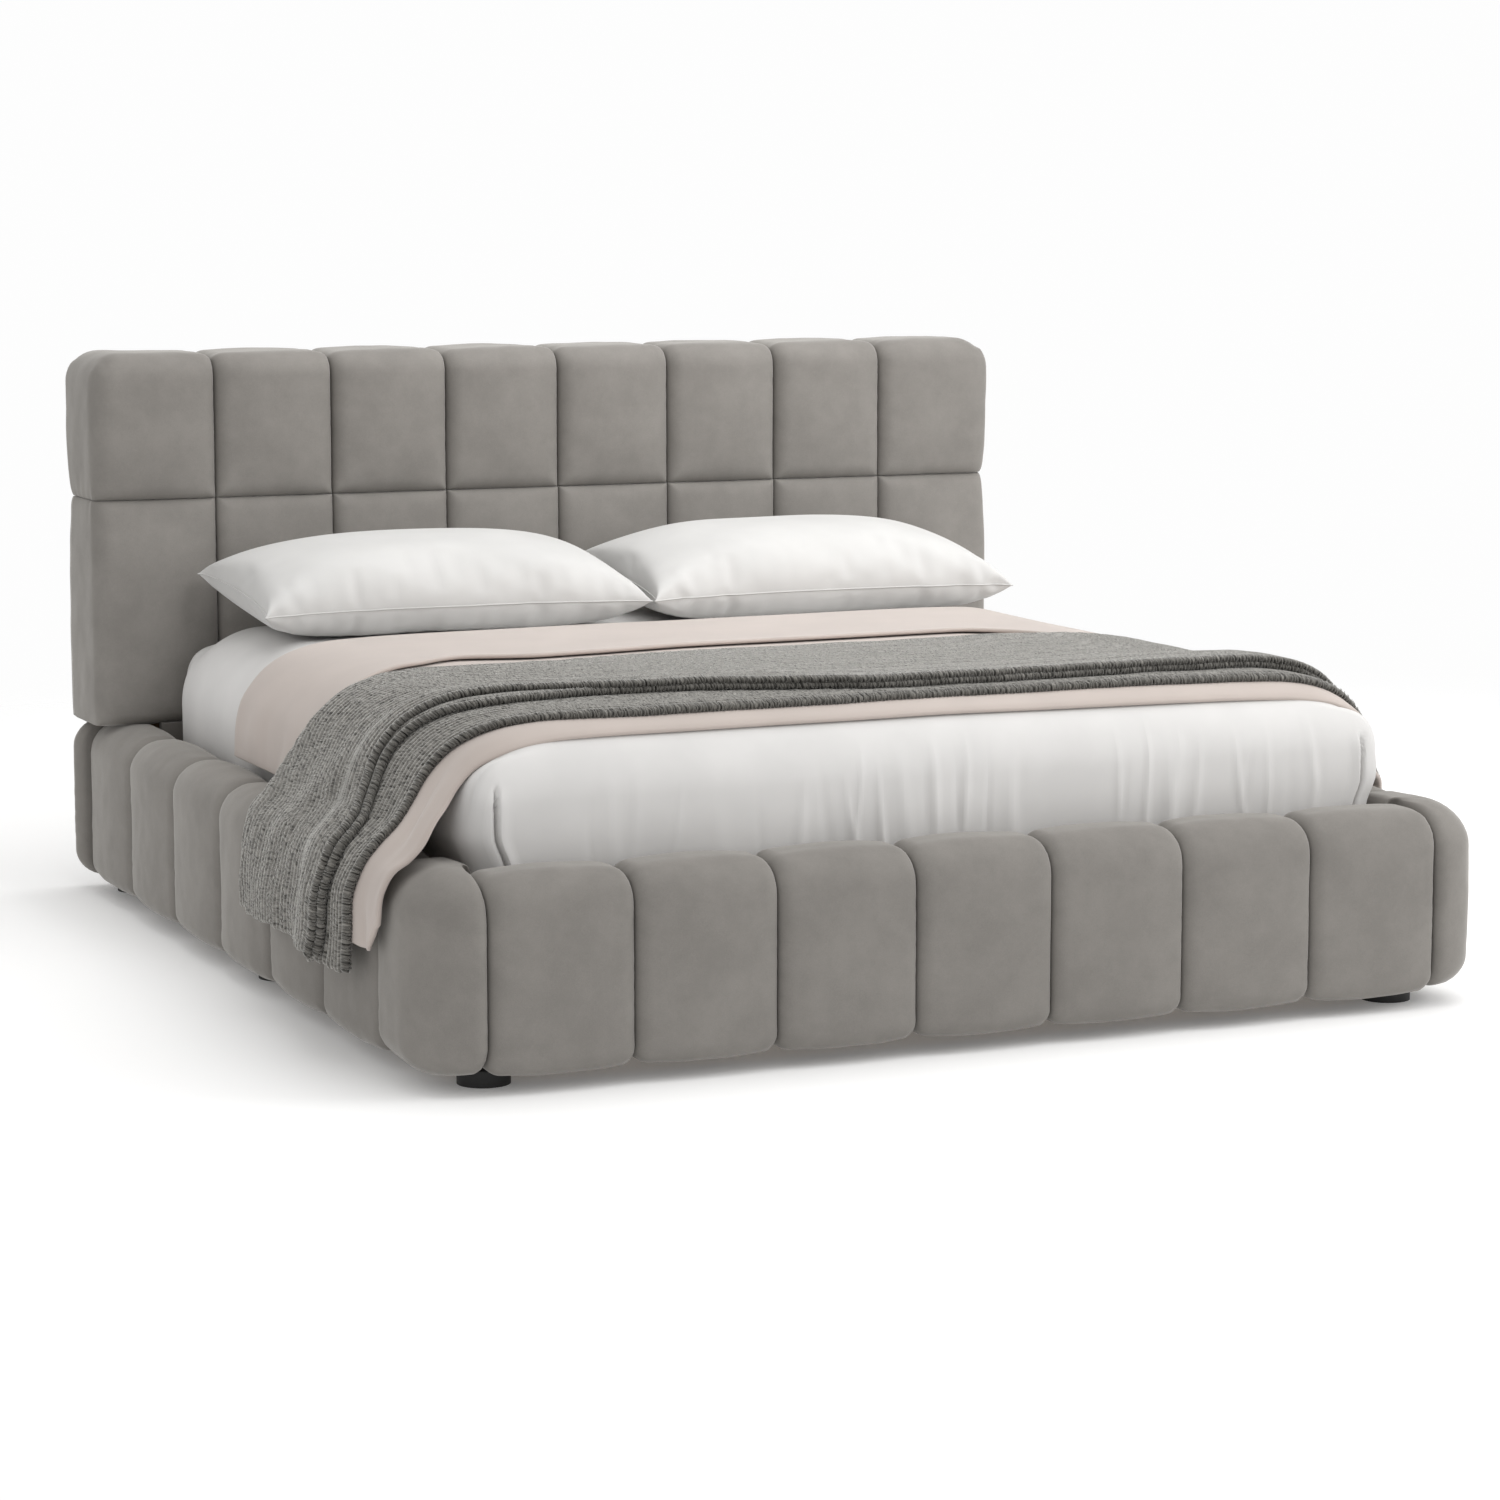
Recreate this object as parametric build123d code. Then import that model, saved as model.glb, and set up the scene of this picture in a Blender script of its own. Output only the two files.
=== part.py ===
from build123d import *
import os

# Upholstered king-size bed: a padded base of vertical channels on low feet, a headboard of
# padded squares standing on the base, a slatted deck, and the bedding that lies on it.
# Millimetres, +Z up, origin on the floor under the middle. The foot end is at -Y.

# Overall sizes
bed_width = 2250.0
bed_length = 2480.0
bed_height = 1240.0
base_height = 400.0
pad_underside = 36.0
crown = 15.0            # how far a pad stands out between its seams
seam_gap = 1.0          # gap between two neighbouring pads

# Padded base
foot_pad_pitch = 285.0
foot_pad_count = 7
foot_wall = 170.0
side_pad_pitch = 352.0
side_pad_count = 6
side_wall = 140.0
first_side_seam = -945.0
front_corner_radius = 140.0
front_corner_stock = (300.0, 700.0)    # a corner pad is cut from a block this wide and long
rear_corner_radius = 68.0
top_outer_radius = 48.0
top_inner_radius = 20.0
pad_under_radius = 16.0
lip_thickness = 12.0    # padding on the inner face of the rails
lip_bottom = 335.0

# Timber rails of the base
board_thickness = 30.0
board_bottom = 60.0
board_top = 372.0
deck_top = 330.0
slat_thickness = 18.0
slat_width = 70.0
slat_count = 13
ledge_width = 38.0
ledge_height = 40.0
beam_width = 70.0
beam_height = 72.0
cross_rail_front = 1000.0
back_board_front = 1193.0
corner_block_leg = 95.0
corner_block_height = 180.0
corner_block_bottom = 80.0
slat_end_gap = 30.0     # first and last slat, from the ends of the deck
slat_middle_gap = 4.0   # half the gap between the left and the right slats
slat_side_gap = 3.0
ledge_end_gap = 5.0
back_board_thickness = 28.0
cover_bottom = 40.0

# Headboard
head_bottom = 404.0
head_front_seam = 1020.0
head_crown = 20.0
head_half_width = 1125.0
head_seam_height = 913.0
head_pad_pitch = 279.0
head_pad_columns = 8
head_core_half_width = 1075.0
head_core_front = 1104.0
head_core_top = 1200.0
head_panel_thickness = 18.0
head_stud_width = 45.0
head_frame_back = 1228.0
head_post_width = 70.0
head_post_depth = head_frame_back - 35.0 - (head_core_front + head_panel_thickness)
head_post_x = 945.0
head_post_top = 1000.0
head_stud_inset = 350.0         # the middle studs, from the centre line
head_end_wrap = 20.0            # width of the strip that closes the end pads on their outer side

# Feet, centre legs and fixings
foot_radius = 50.0
foot_height = 34.0
foot_neck_radius = 14.0
foot_end_feet = (965.0, -1097.0)      # under the foot board
side_feet = ((1012.0, 0.0), (1012.0, 1130.0))   # under the side boards
leg_radius = 22.0
leg_bottom = 30.0
leg_pitch = 700.0
glide_radius = 30.0
glide_height = 12.0
glide_stem_radius = 6.0
glide_bore_radius = 6.4
glide_stem_top = 80.0
glide_bore_top = 115.0
bolt_radius = 4.0
bolt_hole_radius = 4.25
bolt_heights = (140.0, 320.0)
bolt_length = 92.0
bolt_head_radius = 7.5
bolt_head_height = 5.5
bolt_hole_near = 900.0          # the holes are drilled from here to there along y
bolt_hole_far = 1400.0
foot_edge_radius = 5.0
glide_edge_radius = 4.0
leg_socket = 20.0               # how far a centre leg reaches up into the beam
hanger_length = 50.0
hanger_steel = 3.0
hanger_lip = 12.0

# Mattress and bedding
mattress_width = 1930.0
mattress_length = 2030.0
mattress_height = 305.0
mattress_foot = -1060.0
mattress_corner_radius = 110.0
mattress_top_radius = 90.0
mattress_under_radius = 34.0
blanket_thickness = 6.0
throw_thickness = 15.0
bedding_clearance = 2.0
shoulder_inset = 35.0   # where the draped cloth leaves the mattress top, in from its side
rail_drop = 25.0        # where it turns down outside the rail, below the rail top
shoulder_radius = 100.0
rail_turn_radius = 80.0
blanket_head_edge = 460.0
blanket_foot_edge = -1068.0
blanket_flap_head_edge = -250.0         # from here to the pillows it is tucked in, not hung out
blanket_tuck_bottom = 412.0
blanket_hem = 235.0
throw_head_edge_left = -60.0
throw_head_edge_right = -520.0
throw_foot_edge = -1000.0
throw_hem = 175.0
throw_overreach = 60.0  # the slanting cut starts this far beyond the bed
pillow_width = 880.0
pillow_depth = 480.0
pillow_height = 225.0
pillow_centre_x = 455.0
pillow_centre_y = 700.0
pillow_tilt = 6.0       # degrees, head side up

half_width = bed_width / 2
half_length = bed_length / 2
foot_inner = -half_length + foot_wall
side_inner = half_width - side_wall
mattress_top = deck_top + mattress_height
foot_seam_edge = foot_pad_pitch * foot_pad_count / 2
last_side_seam = first_side_seam + side_pad_pitch * side_pad_count
foot_board_inner = foot_inner - lip_thickness
foot_board_outer = foot_board_inner - board_thickness
side_board_inner = side_inner + lip_thickness
side_board_outer = side_board_inner + board_thickness


def save(shape, name):
    shape.label = name
    export_step(shape, os.path.join("parts", name + ".step"))


def block(x_low, x_high, y_low, y_high, z_low, z_high):
    size = (x_high - x_low, y_high - y_low, z_high - z_low)
    corner = (Align.MIN, Align.MIN, Align.MIN)
    return Pos(x_low, y_low, z_low) * Box(*size, align=corner)


def rod(radius, z_low, z_high, x=0.0, y=0.0):
    upright = (Align.CENTER, Align.CENTER, Align.MIN)
    return Pos(x, y, z_low) * Cylinder(radius, z_high - z_low, align=upright)


def edges_at(shape, y=None, z=None, axis=None):
    chosen = shape.edges()
    if axis is not None:
        chosen = chosen.filter_by(axis)
    if y is not None:
        chosen = chosen.filter_by(lambda edge: abs(edge.center().Y - y) < 0.01)
    if z is not None:
        chosen = chosen.filter_by(lambda edge: abs(edge.center().Z - z) < 0.01)
    return chosen


def crowned_outline(width, depth, bulge):
    """Seen from above: a strip from y = 0 to -depth whose outer side is an arc."""
    half = width / 2
    seam = -depth + bulge
    sides = Polyline((half, seam), (half, 0), (-half, 0), (-half, seam))
    front = ThreePointArc((-half, seam), (0, -depth), (half, seam))
    return make_face(sides + front)


def rail_pad(length, wall):
    """One channel of the base padding, inner face at y = 0, outer side towards -y."""
    pad = block(-length / 2, length / 2, -wall, 0, pad_underside, base_height)
    pad = fillet(edges_at(pad, y=-wall, z=base_height, axis=Axis.X), top_outer_radius)
    pad = fillet(edges_at(pad, y=0, z=base_height, axis=Axis.X), top_inner_radius)
    pad = fillet(edges_at(pad, y=-wall, z=pad_underside, axis=Axis.X), pad_under_radius)
    outline = crowned_outline(length, wall, crown)
    pad = pad & extrude(outline, base_height + 10)
    board_outer = -lip_thickness - board_thickness
    pad -= block(-length, length, board_outer, -lip_thickness, 0, board_top)
    pad -= block(-length, length, board_outer, 10, 0, lip_bottom)
    return pad


def front_corner_pad(side):
    """Padding round a foot-end corner, from the last front seam to the first side seam."""
    rear = first_side_seam - seam_gap / 2
    whole = Rectangle(*front_corner_stock, align=(Align.MIN, Align.MIN))
    outline = Pos(-half_width, -half_length) * whole
    corner = outline.vertices().sort_by(Axis.X)[:2].sort_by(Axis.Y)[0]
    outline = fillet(corner, front_corner_radius)
    keep = Pos(-half_width, -half_length) * Rectangle(
        half_width - foot_seam_edge - seam_gap / 2,
        rear + half_length,
        align=(Align.MIN, Align.MIN),
    )
    pad = extrude(outline & keep, base_height - pad_underside)
    pad = Pos(0, 0, pad_underside) * pad
    rim = edges_at(pad, z=base_height).filter_by(
        lambda edge: edge.center().X < -half_width + front_corner_radius / 2
    )
    pad = fillet(rim.filter_by(lambda edge: edge.center().Y < rear - 1), top_outer_radius)
    pad -= block(-side_board_outer, 0, foot_board_outer, 0, 0, board_top)
    pad -= block(-side_inner, 0, foot_inner, 0, 0, base_height + 10)
    return pad if side < 0 else mirror(pad, about=Plane.YZ)


def rear_corner_pad(side):
    """Padding round a head-end corner of the base, behind the last side seam."""
    front = last_side_seam + seam_gap / 2
    outline = Pos(-half_width, half_length) * Rectangle(
        rear_corner_radius + 2, half_length - front, align=(Align.MIN, Align.MAX)
    )
    corner = outline.vertices().sort_by(Axis.X)[:2].sort_by(Axis.Y)[-1]
    pad = extrude(fillet(corner, rear_corner_radius), base_height - pad_underside)
    pad = Pos(0, 0, pad_underside) * pad
    return pad if side < 0 else mirror(pad, about=Plane.YZ)


def build_base_pads():
    for index in range(foot_pad_count):
        x = -foot_seam_edge + foot_pad_pitch * (index + 0.5)
        pad = Pos(x, foot_inner, 0) * rail_pad(foot_pad_pitch - seam_gap, foot_wall)
        save(pad, f"footboard_channel_{index + 1}")
    for name, side in (("left", -1), ("right", 1)):
        pads = []
        for index in range(side_pad_count):
            y = first_side_seam + side_pad_pitch * (index + 0.5)
            pad = Rot(0, 0, 90 * side) * rail_pad(side_pad_pitch - seam_gap, side_wall)
            pads.append(Pos(side * side_inner, y, 0) * pad)
        save(Compound(children=pads), f"{name}_rail_channels")
        save(front_corner_pad(side), f"front_corner_pad_{name}")
        save(rear_corner_pad(side), f"rear_corner_pad_{name}")
    cover_half = half_width - rear_corner_radius - 3
    cover = block(-cover_half, cover_half, head_frame_back, half_length, cover_bottom, base_height)
    save(cover, "base_back_cover")


def headboard_pad(column, z_low, z_high):
    """One padded square of the headboard, crowned both ways; the outer ones wrap the ends."""
    back = half_length - 2
    depth = back - head_front_seam + head_crown
    x_middle = head_pad_pitch * (column + 0.5 - head_pad_columns / 2)
    width = head_pad_pitch - seam_gap
    height = z_high - z_low
    outline = Pos(x_middle, back) * crowned_outline(width, depth, head_crown)
    wrap_depth = back - head_front_seam - head_crown / 2
    if column == 0:
        strip = Rectangle(head_end_wrap, wrap_depth, align=(Align.MIN, Align.MAX))
        outline += Pos(-head_half_width, back) * strip
    if column == head_pad_columns - 1:
        strip = Rectangle(head_end_wrap, wrap_depth, align=(Align.MAX, Align.MAX))
        outline += Pos(head_half_width, back) * strip
    pad = Pos(0, 0, z_low) * extrude(outline, height)
    profile = extrude(crowned_outline(height, depth, head_crown), bed_width, both=True)
    pad = pad & (Pos(0, back, (z_low + z_high) / 2) * Rot(0, -90, 0) * profile)
    pad -= block(
        -head_core_half_width, head_core_half_width, head_core_front, half_length + 10, 0, head_core_top
    )
    return pad


def build_headboard():
    for column in range(head_pad_columns):
        number = column + 1
        low_pad = headboard_pad(column, head_bottom, head_seam_height - seam_gap / 2)
        save(low_pad, f"headboard_pad_bottom_{number}")
        top_pad = headboard_pad(column, head_seam_height + seam_gap / 2, bed_height)
        save(top_pad, f"headboard_pad_top_{number}")

    half = head_core_half_width - 1
    panel_back = head_core_front + head_panel_thickness
    low, high = head_bottom, head_core_top - 1
    save(block(-half, half, head_core_front + 1, panel_back, low, high), "headboard_front_panel")
    save(block(-half, half, head_frame_back, half_length - 2, low, high), "headboard_back_panel")

    top_rail = block(-half, half, panel_back, head_frame_back, high - head_stud_width, high)
    save(top_rail, "headboard_top_rail")
    bottom_rail = block(-half, half, panel_back, head_frame_back, low, low + head_stud_width)
    studs = []
    for x in (-half, -head_stud_inset - head_stud_width, head_stud_inset, half - head_stud_width):
        stud = block(
            x, x + head_stud_width, panel_back, head_frame_back, low + head_stud_width, high - head_stud_width
        )
        studs.append(stud)
    save(Compound(children=studs), "headboard_studs")

    posts = []
    bolts = []
    for side in (-1, 1):
        x = side * head_post_x
        x_low, x_high = x - head_post_width / 2, x + head_post_width / 2
        post = block(x_low, x_high, panel_back, panel_back + head_post_depth, board_bottom, head_post_top)
        bottom_rail -= block(x_low, x_high, panel_back, panel_back + head_post_depth, 0, high)
        for z in bolt_heights:
            post -= bolt_hole(x, z)
            bolts.append(bolt(x, z))
        posts.append(post)
    save(bottom_rail, "headboard_bottom_rail")
    save(Compound(children=posts), "headboard_posts")
    save(Compound(children=bolts), "headboard_bolts")


def bolt_hole(x, z):
    return Pos(x, 0, z) * Rot(-90, 0, 0) * rod(bolt_hole_radius, bolt_hole_near, bolt_hole_far)


def bolt(x, z):
    """A hexagon bolt from the back of the base through its board and a headboard post."""
    back = back_board_front + back_board_thickness
    shank = rod(bolt_radius, back - bolt_length, back)
    head = Pos(0, 0, back) * extrude(RegularPolygon(bolt_head_radius, 6), bolt_head_height)
    return Pos(x, 0, z) * Rot(-90, 0, 0) * (shank + head)


def build_rails():
    foot_board = block(
        -side_board_outer, side_board_outer, foot_board_outer, foot_board_inner, board_bottom, board_top
    )
    save(foot_board, "foot_board")
    for name, side in (("left", -1), ("right", 1)):
        x_low, x_high = sorted((side * side_board_inner, side * side_board_outer))
        rail = block(x_low, x_high, foot_board_inner, back_board_front, board_bottom, board_top)
        save(rail, f"{name}_side_board")
    cross_rail = block(
        -side_board_inner,
        side_board_inner,
        cross_rail_front,
        cross_rail_front + board_thickness,
        board_bottom,
        head_bottom,
    )
    for side in (-1, 1):
        x_low, x_high = sorted((side * (side_inner - 0.5), side * half_width))
        cross_rail -= block(x_low, x_high, 0, half_length, lip_bottom - 0.5, bed_height)
    save(cross_rail, "head_cross_rail")
    back_board = block(
        -side_board_outer,
        side_board_outer,
        back_board_front,
        back_board_front + back_board_thickness,
        board_bottom,
        base_height,
    )
    for side in (-1, 1):
        for z in bolt_heights:
            back_board -= bolt_hole(side * head_post_x, z)
    save(back_board, "back_board")

    blocks = []
    for side in (-1, 1):
        for y, direction in ((foot_board_inner, 1), (cross_rail_front, -1)):
            x = side * side_board_inner
            leg = corner_block_leg
            corners = ((x, y), (x - side * leg, y), (x, y + direction * leg))
            outline = make_face(Polyline(*corners, close=True))
            blocks.append(Pos(0, 0, corner_block_bottom) * extrude(outline, corner_block_height))
    save(Compound(children=blocks), "corner_blocks")


def build_deck():
    slat_bottom = deck_top - slat_thickness
    deck_length = cross_rail_front - foot_board_inner
    ledges = []
    slats = []
    for side in (-1, 1):
        outer, inner = side * side_board_inner, side * (side_board_inner - ledge_width)
        x_low, x_high = sorted((outer, inner))
        ledge = block(
            x_low,
            x_high,
            foot_board_inner + corner_block_leg + ledge_end_gap,
            cross_rail_front - corner_block_leg - ledge_end_gap,
            slat_bottom - ledge_height,
            slat_bottom,
        )
        ledges.append(ledge)
        pitch = (deck_length - slat_width - 2 * slat_end_gap) / (slat_count - 1)
        for index in range(slat_count):
            y = foot_board_inner + slat_end_gap + pitch * index
            x_low, x_high = sorted((side * slat_middle_gap, side * (side_board_inner - slat_side_gap)))
            slats.append(block(x_low, x_high, y, y + slat_width, slat_bottom, deck_top))
    save(Compound(children=ledges), "slat_ledges")
    save(Compound(children=slats), "slats")

    half = beam_width / 2
    beam = block(-half, half, foot_board_inner, cross_rail_front, slat_bottom - beam_height, slat_bottom)
    for y in leg_places():
        beam -= rod(leg_radius, 0, slat_bottom - beam_height + leg_socket, y=y)
    save(beam, "centre_beam")
    hangers = []
    for y, direction in ((foot_board_inner, 1), (cross_rail_front, -1)):
        y_low, y_high = sorted((y, y + direction * hanger_length))
        outer = half + hanger_steel
        z_low, z_high = slat_bottom - beam_height - hanger_steel, slat_bottom - hanger_lip
        hanger = block(-outer, outer, y_low, y_high, z_low, z_high)
        hanger -= block(-half, half, y_low - 1, y_high + 1, slat_bottom - beam_height, slat_bottom)
        hangers.append(hanger)
    save(Compound(children=hangers), "beam_hangers")

    legs = []
    for number, y in enumerate(leg_places(), start=1):
        leg = rod(leg_radius, leg_bottom, slat_bottom - beam_height + leg_socket, y=y)
        leg -= rod(glide_bore_radius, 0, glide_bore_top, y=y)
        legs.append(leg)
        glide = rod(glide_radius, 0, glide_height, y=y)
        top_rim = glide.edges().filter_by(GeomType.CIRCLE).sort_by(Axis.Z)[-1]
        glide = fillet(top_rim, glide_edge_radius)
        glide += rod(glide_stem_radius, glide_height - 1, glide_stem_top, y=y)
        save(glide, f"centre_leg_glide_{number}")
    save(Compound(children=legs), "centre_legs")


def leg_places():
    return (-leg_pitch, 0.0, leg_pitch)


def build_feet():
    feet = []
    for side in (-1, 1):
        for x, y in (foot_end_feet, *side_feet):
            foot = rod(foot_radius, 0, foot_height, side * x, y)
            rims = foot.edges().filter_by(GeomType.CIRCLE)
            foot = fillet(rims.sort_by(Axis.Z)[-1], foot_edge_radius)
            foot += rod(foot_neck_radius, foot_height - 1, board_bottom, side * x, y)
            feet.append(foot)
    save(Compound(children=feet), "feet")


def corners_at(face, z):
    return face.vertices().filter_by(lambda point: abs(point.Y - z) < 0.01)


def draped_section(distance, hem):
    """Face under cloth that leaves the mattress at its shoulder, reaches over the rail and hangs.

    It is seen from the foot end; distance is how far the cloth stands off what it covers.
    """
    outer = half_width + bedding_clearance
    shoulder = mattress_width / 2 - shoulder_inset
    top = mattress_top + bedding_clearance
    left = [(-outer, 0), (-outer, base_height - rail_drop), (-shoulder, top)]
    right = [(-x, z) for x, z in reversed(left)]
    face = make_face(Polyline(*left, *right, close=True))
    face = fillet(corners_at(face, top), shoulder_radius)
    face = fillet(corners_at(face, base_height - rail_drop), rail_turn_radius)
    if distance > bedding_clearance:
        face = offset(face, distance - bedding_clearance)
    above_hem = Pos(0, hem) * Rectangle(2 * bed_width, bed_height, align=(Align.CENTER, Align.MIN))
    return face & above_hem


def tucked_section(distance):
    """Face under cloth that follows the mattress sides down to the rails."""
    side = mattress_width / 2 + distance
    height = mattress_top + distance - blanket_tuck_bottom
    face = Pos(0, blanket_tuck_bottom) * Rectangle(2 * side, height, align=(Align.CENTER, Align.MIN))
    top_corners = face.vertices().sort_by(Axis.Y)[-2:]
    return fillet(top_corners, mattress_top_radius + distance)


def along_bed(section, y_low, y_high):
    return Pos(0, y_high, 0) * Rot(90, 0, 0) * extrude(section, y_high - y_low)


def build_mattress():
    mattress = block(
        -mattress_width / 2,
        mattress_width / 2,
        mattress_foot,
        mattress_foot + mattress_length,
        deck_top,
        mattress_top,
    )
    mattress = fillet(mattress.edges().filter_by(Axis.Z), mattress_corner_radius)
    mattress = fillet(mattress.faces().sort_by(Axis.Z)[-1].edges(), mattress_top_radius)
    mattress = fillet(mattress.faces().sort_by(Axis.Z)[0].edges(), mattress_under_radius)
    save(mattress, "mattress")


def build_blanket():
    under = bedding_clearance
    over = bedding_clearance + blanket_thickness
    hung = draped_section(over, blanket_hem) - draped_section(under, 0)
    tucked = tucked_section(over) - tucked_section(under)
    cloth = along_bed(hung, blanket_foot_edge, blanket_flap_head_edge)
    cloth += along_bed(tucked, blanket_flap_head_edge, blanket_head_edge)
    save(cloth, "blanket")


def build_throw():
    under = bedding_clearance + blanket_thickness + 1
    section = draped_section(under + throw_thickness, throw_hem) - draped_section(under, 0)
    cloth = along_bed(section, throw_foot_edge, throw_head_edge_left)
    reach = half_width + throw_overreach
    skew = Polyline(
        (-reach, throw_head_edge_left),
        (-reach, bed_length),
        (reach, bed_length),
        (reach, throw_head_edge_right),
        close=True,
    )
    save(cloth - extrude(make_face(skew), bed_height), "throw")


def lens(width, height, length):
    """A solid of lens-shaped section, width along x and height along z, long in y."""
    half = width / 2
    upper = ThreePointArc((-half, 0), (0, height / 2), (half, 0))
    lower = ThreePointArc((half, 0), (0, -height / 2), (-half, 0))
    return Rot(90, 0, 0) * extrude(make_face(upper + lower), length, both=True)


def build_pillows():
    along = lens(pillow_width, pillow_height, pillow_depth)
    across = Rot(0, 0, 90) * lens(pillow_depth, pillow_height, pillow_width)
    pillow = Rot(pillow_tilt, 0, 0) * (along & across)
    rise = mattress_top + bedding_clearance - pillow.bounding_box().min.Z
    for name, side in (("left", -1), ("right", 1)):
        save(Pos(side * pillow_centre_x, pillow_centre_y, rise) * pillow, f"pillow_{name}")


os.makedirs("parts", exist_ok=True)
build_base_pads()
build_headboard()
build_rails()
build_deck()
build_feet()
build_mattress()
build_blanket()
build_throw()
build_pillows()
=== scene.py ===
import math

import bmesh
import bpy
import numpy as np
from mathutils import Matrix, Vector, noise


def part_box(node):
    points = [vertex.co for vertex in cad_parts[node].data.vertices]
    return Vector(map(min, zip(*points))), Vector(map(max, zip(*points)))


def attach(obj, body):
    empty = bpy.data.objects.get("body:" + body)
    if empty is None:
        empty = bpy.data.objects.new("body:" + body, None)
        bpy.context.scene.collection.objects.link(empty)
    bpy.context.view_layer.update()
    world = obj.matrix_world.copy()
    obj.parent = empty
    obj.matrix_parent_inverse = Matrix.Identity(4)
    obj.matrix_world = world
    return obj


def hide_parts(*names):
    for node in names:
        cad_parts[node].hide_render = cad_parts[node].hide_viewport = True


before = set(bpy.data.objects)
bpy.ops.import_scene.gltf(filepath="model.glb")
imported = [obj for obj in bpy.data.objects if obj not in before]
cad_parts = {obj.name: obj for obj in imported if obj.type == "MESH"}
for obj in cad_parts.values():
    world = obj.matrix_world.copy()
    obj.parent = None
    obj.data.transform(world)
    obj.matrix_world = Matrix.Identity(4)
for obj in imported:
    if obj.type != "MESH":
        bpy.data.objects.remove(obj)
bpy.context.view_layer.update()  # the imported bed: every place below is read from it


# Small helpers for shapes

def smoothStep(low, high, value):
    t = np.clip((np.asarray(value, float) - low) / (high - low), 0, 1)
    return t * t * (3 - 2 * t)


def bell(value, centre, width):
    return np.exp(-(((np.asarray(value, float) - centre) / width) ** 2))


def softNoise(points, scale, seed=0.0):
    shift = Vector((seed * 7.31, seed * 3.17, seed * 5.93))
    return np.array([noise.noise(Vector(p) * scale + shift) for p in points])


def meshPiece(name, points, faces, finish, body, slot, smooth=True):
    mesh = bpy.data.meshes.new(name)
    mesh.from_pydata([tuple(p) for p in points], [], [tuple(f) for f in faces])
    mesh.validate()
    for polygon in mesh.polygons:
        polygon.use_smooth = smooth
    piece = addObject(name, mesh)
    mesh.materials.append(finish)
    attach(piece, body)
    return piece


def readPoints(piece):
    co = np.zeros(len(piece.data.vertices) * 3)
    piece.data.vertices.foreach_get("co", co)
    return co.reshape(-1, 3)


def writePoints(piece, points):
    piece.data.vertices.foreach_set("co", points.astype(np.float32).ravel())
    piece.data.update()


def applyModifiers(piece):
    bpy.context.view_layer.update()
    shaped = piece.evaluated_get(bpy.context.evaluated_depsgraph_get())
    mesh = bpy.data.meshes.new_from_object(shaped)
    old = piece.data
    piece.modifiers.clear()
    piece.data = mesh
    bpy.data.meshes.remove(old)


def lengthAlong(line):
    return np.concatenate([[0], np.cumsum(np.linalg.norm(np.diff(line, axis=0), axis=1))])


def addObject(name, data):
    made = bpy.data.objects.new(name, data)
    bpy.context.scene.collection.objects.link(made)
    return made


# Finishes

def setInputs(node, values):
    for name, value in values.items():
        node.inputs[name].default_value = value


def tones(tone, low, high):
    return tuple(c * low for c in tone), tuple(min(1, c * high) for c in tone)


def grey(value):
    return (value, value, value)


def newFinish(name, roughness=0.8):
    finish = bpy.data.materials.new(name)
    finish.use_nodes = True
    shader = finish.node_tree.nodes["Principled BSDF"]
    setInputs(shader, {"Roughness": roughness})
    return finish, finish.node_tree, shader


def place(tree, stretch=(1, 1, 1), source="Object"):
    where = tree.nodes.new("ShaderNodeTexCoord")
    mapping = tree.nodes.new("ShaderNodeMapping")
    setInputs(mapping, {"Scale": stretch})
    tree.links.new(where.outputs[source], mapping.inputs["Vector"])
    return mapping.outputs["Vector"]


def grain(tree, where, scale, detail=3.0, roughness=0.5):
    tex = tree.nodes.new("ShaderNodeTexNoise")
    setInputs(tex, {"Scale": scale, "Detail": detail, "Roughness": roughness})
    tree.links.new(where, tex.inputs["Vector"])
    return tex.outputs["Fac"]


def ramp(tree, value, stops):
    node = tree.nodes.new("ShaderNodeValToRGB")
    while len(node.color_ramp.elements) < len(stops):
        node.color_ramp.elements.new(0.5)
    for element, (at, colour) in zip(node.color_ramp.elements, stops):
        element.position = at
        element.color = (*colour, 1)
    tree.links.new(value, node.inputs["Fac"])
    return node.outputs["Color"]


def mixColours(tree, share, first, second, how="MIX"):
    node = tree.nodes.new("ShaderNodeMix")
    node.data_type = "RGBA"
    node.blend_type = how
    if isinstance(share, (int, float)):
        node.inputs[0].default_value = share
    else:
        tree.links.new(share, node.inputs[0])
    for socket, value in ((node.inputs[6], first), (node.inputs[7], second)):
        if isinstance(value, tuple):
            socket.default_value = (*value, 1)
        else:
            tree.links.new(value, socket)
    return node.outputs[2]


def bumpUp(tree, shader, layers):
    previous = None
    for height, strength, distance in layers:
        node = tree.nodes.new("ShaderNodeBump")
        setInputs(node, {"Strength": strength, "Distance": distance})
        tree.links.new(height, node.inputs["Height"])
        if previous is not None:
            tree.links.new(previous, node.inputs["Normal"])
        previous = node.outputs["Normal"]
    tree.links.new(previous, shader.inputs["Normal"])


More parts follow.
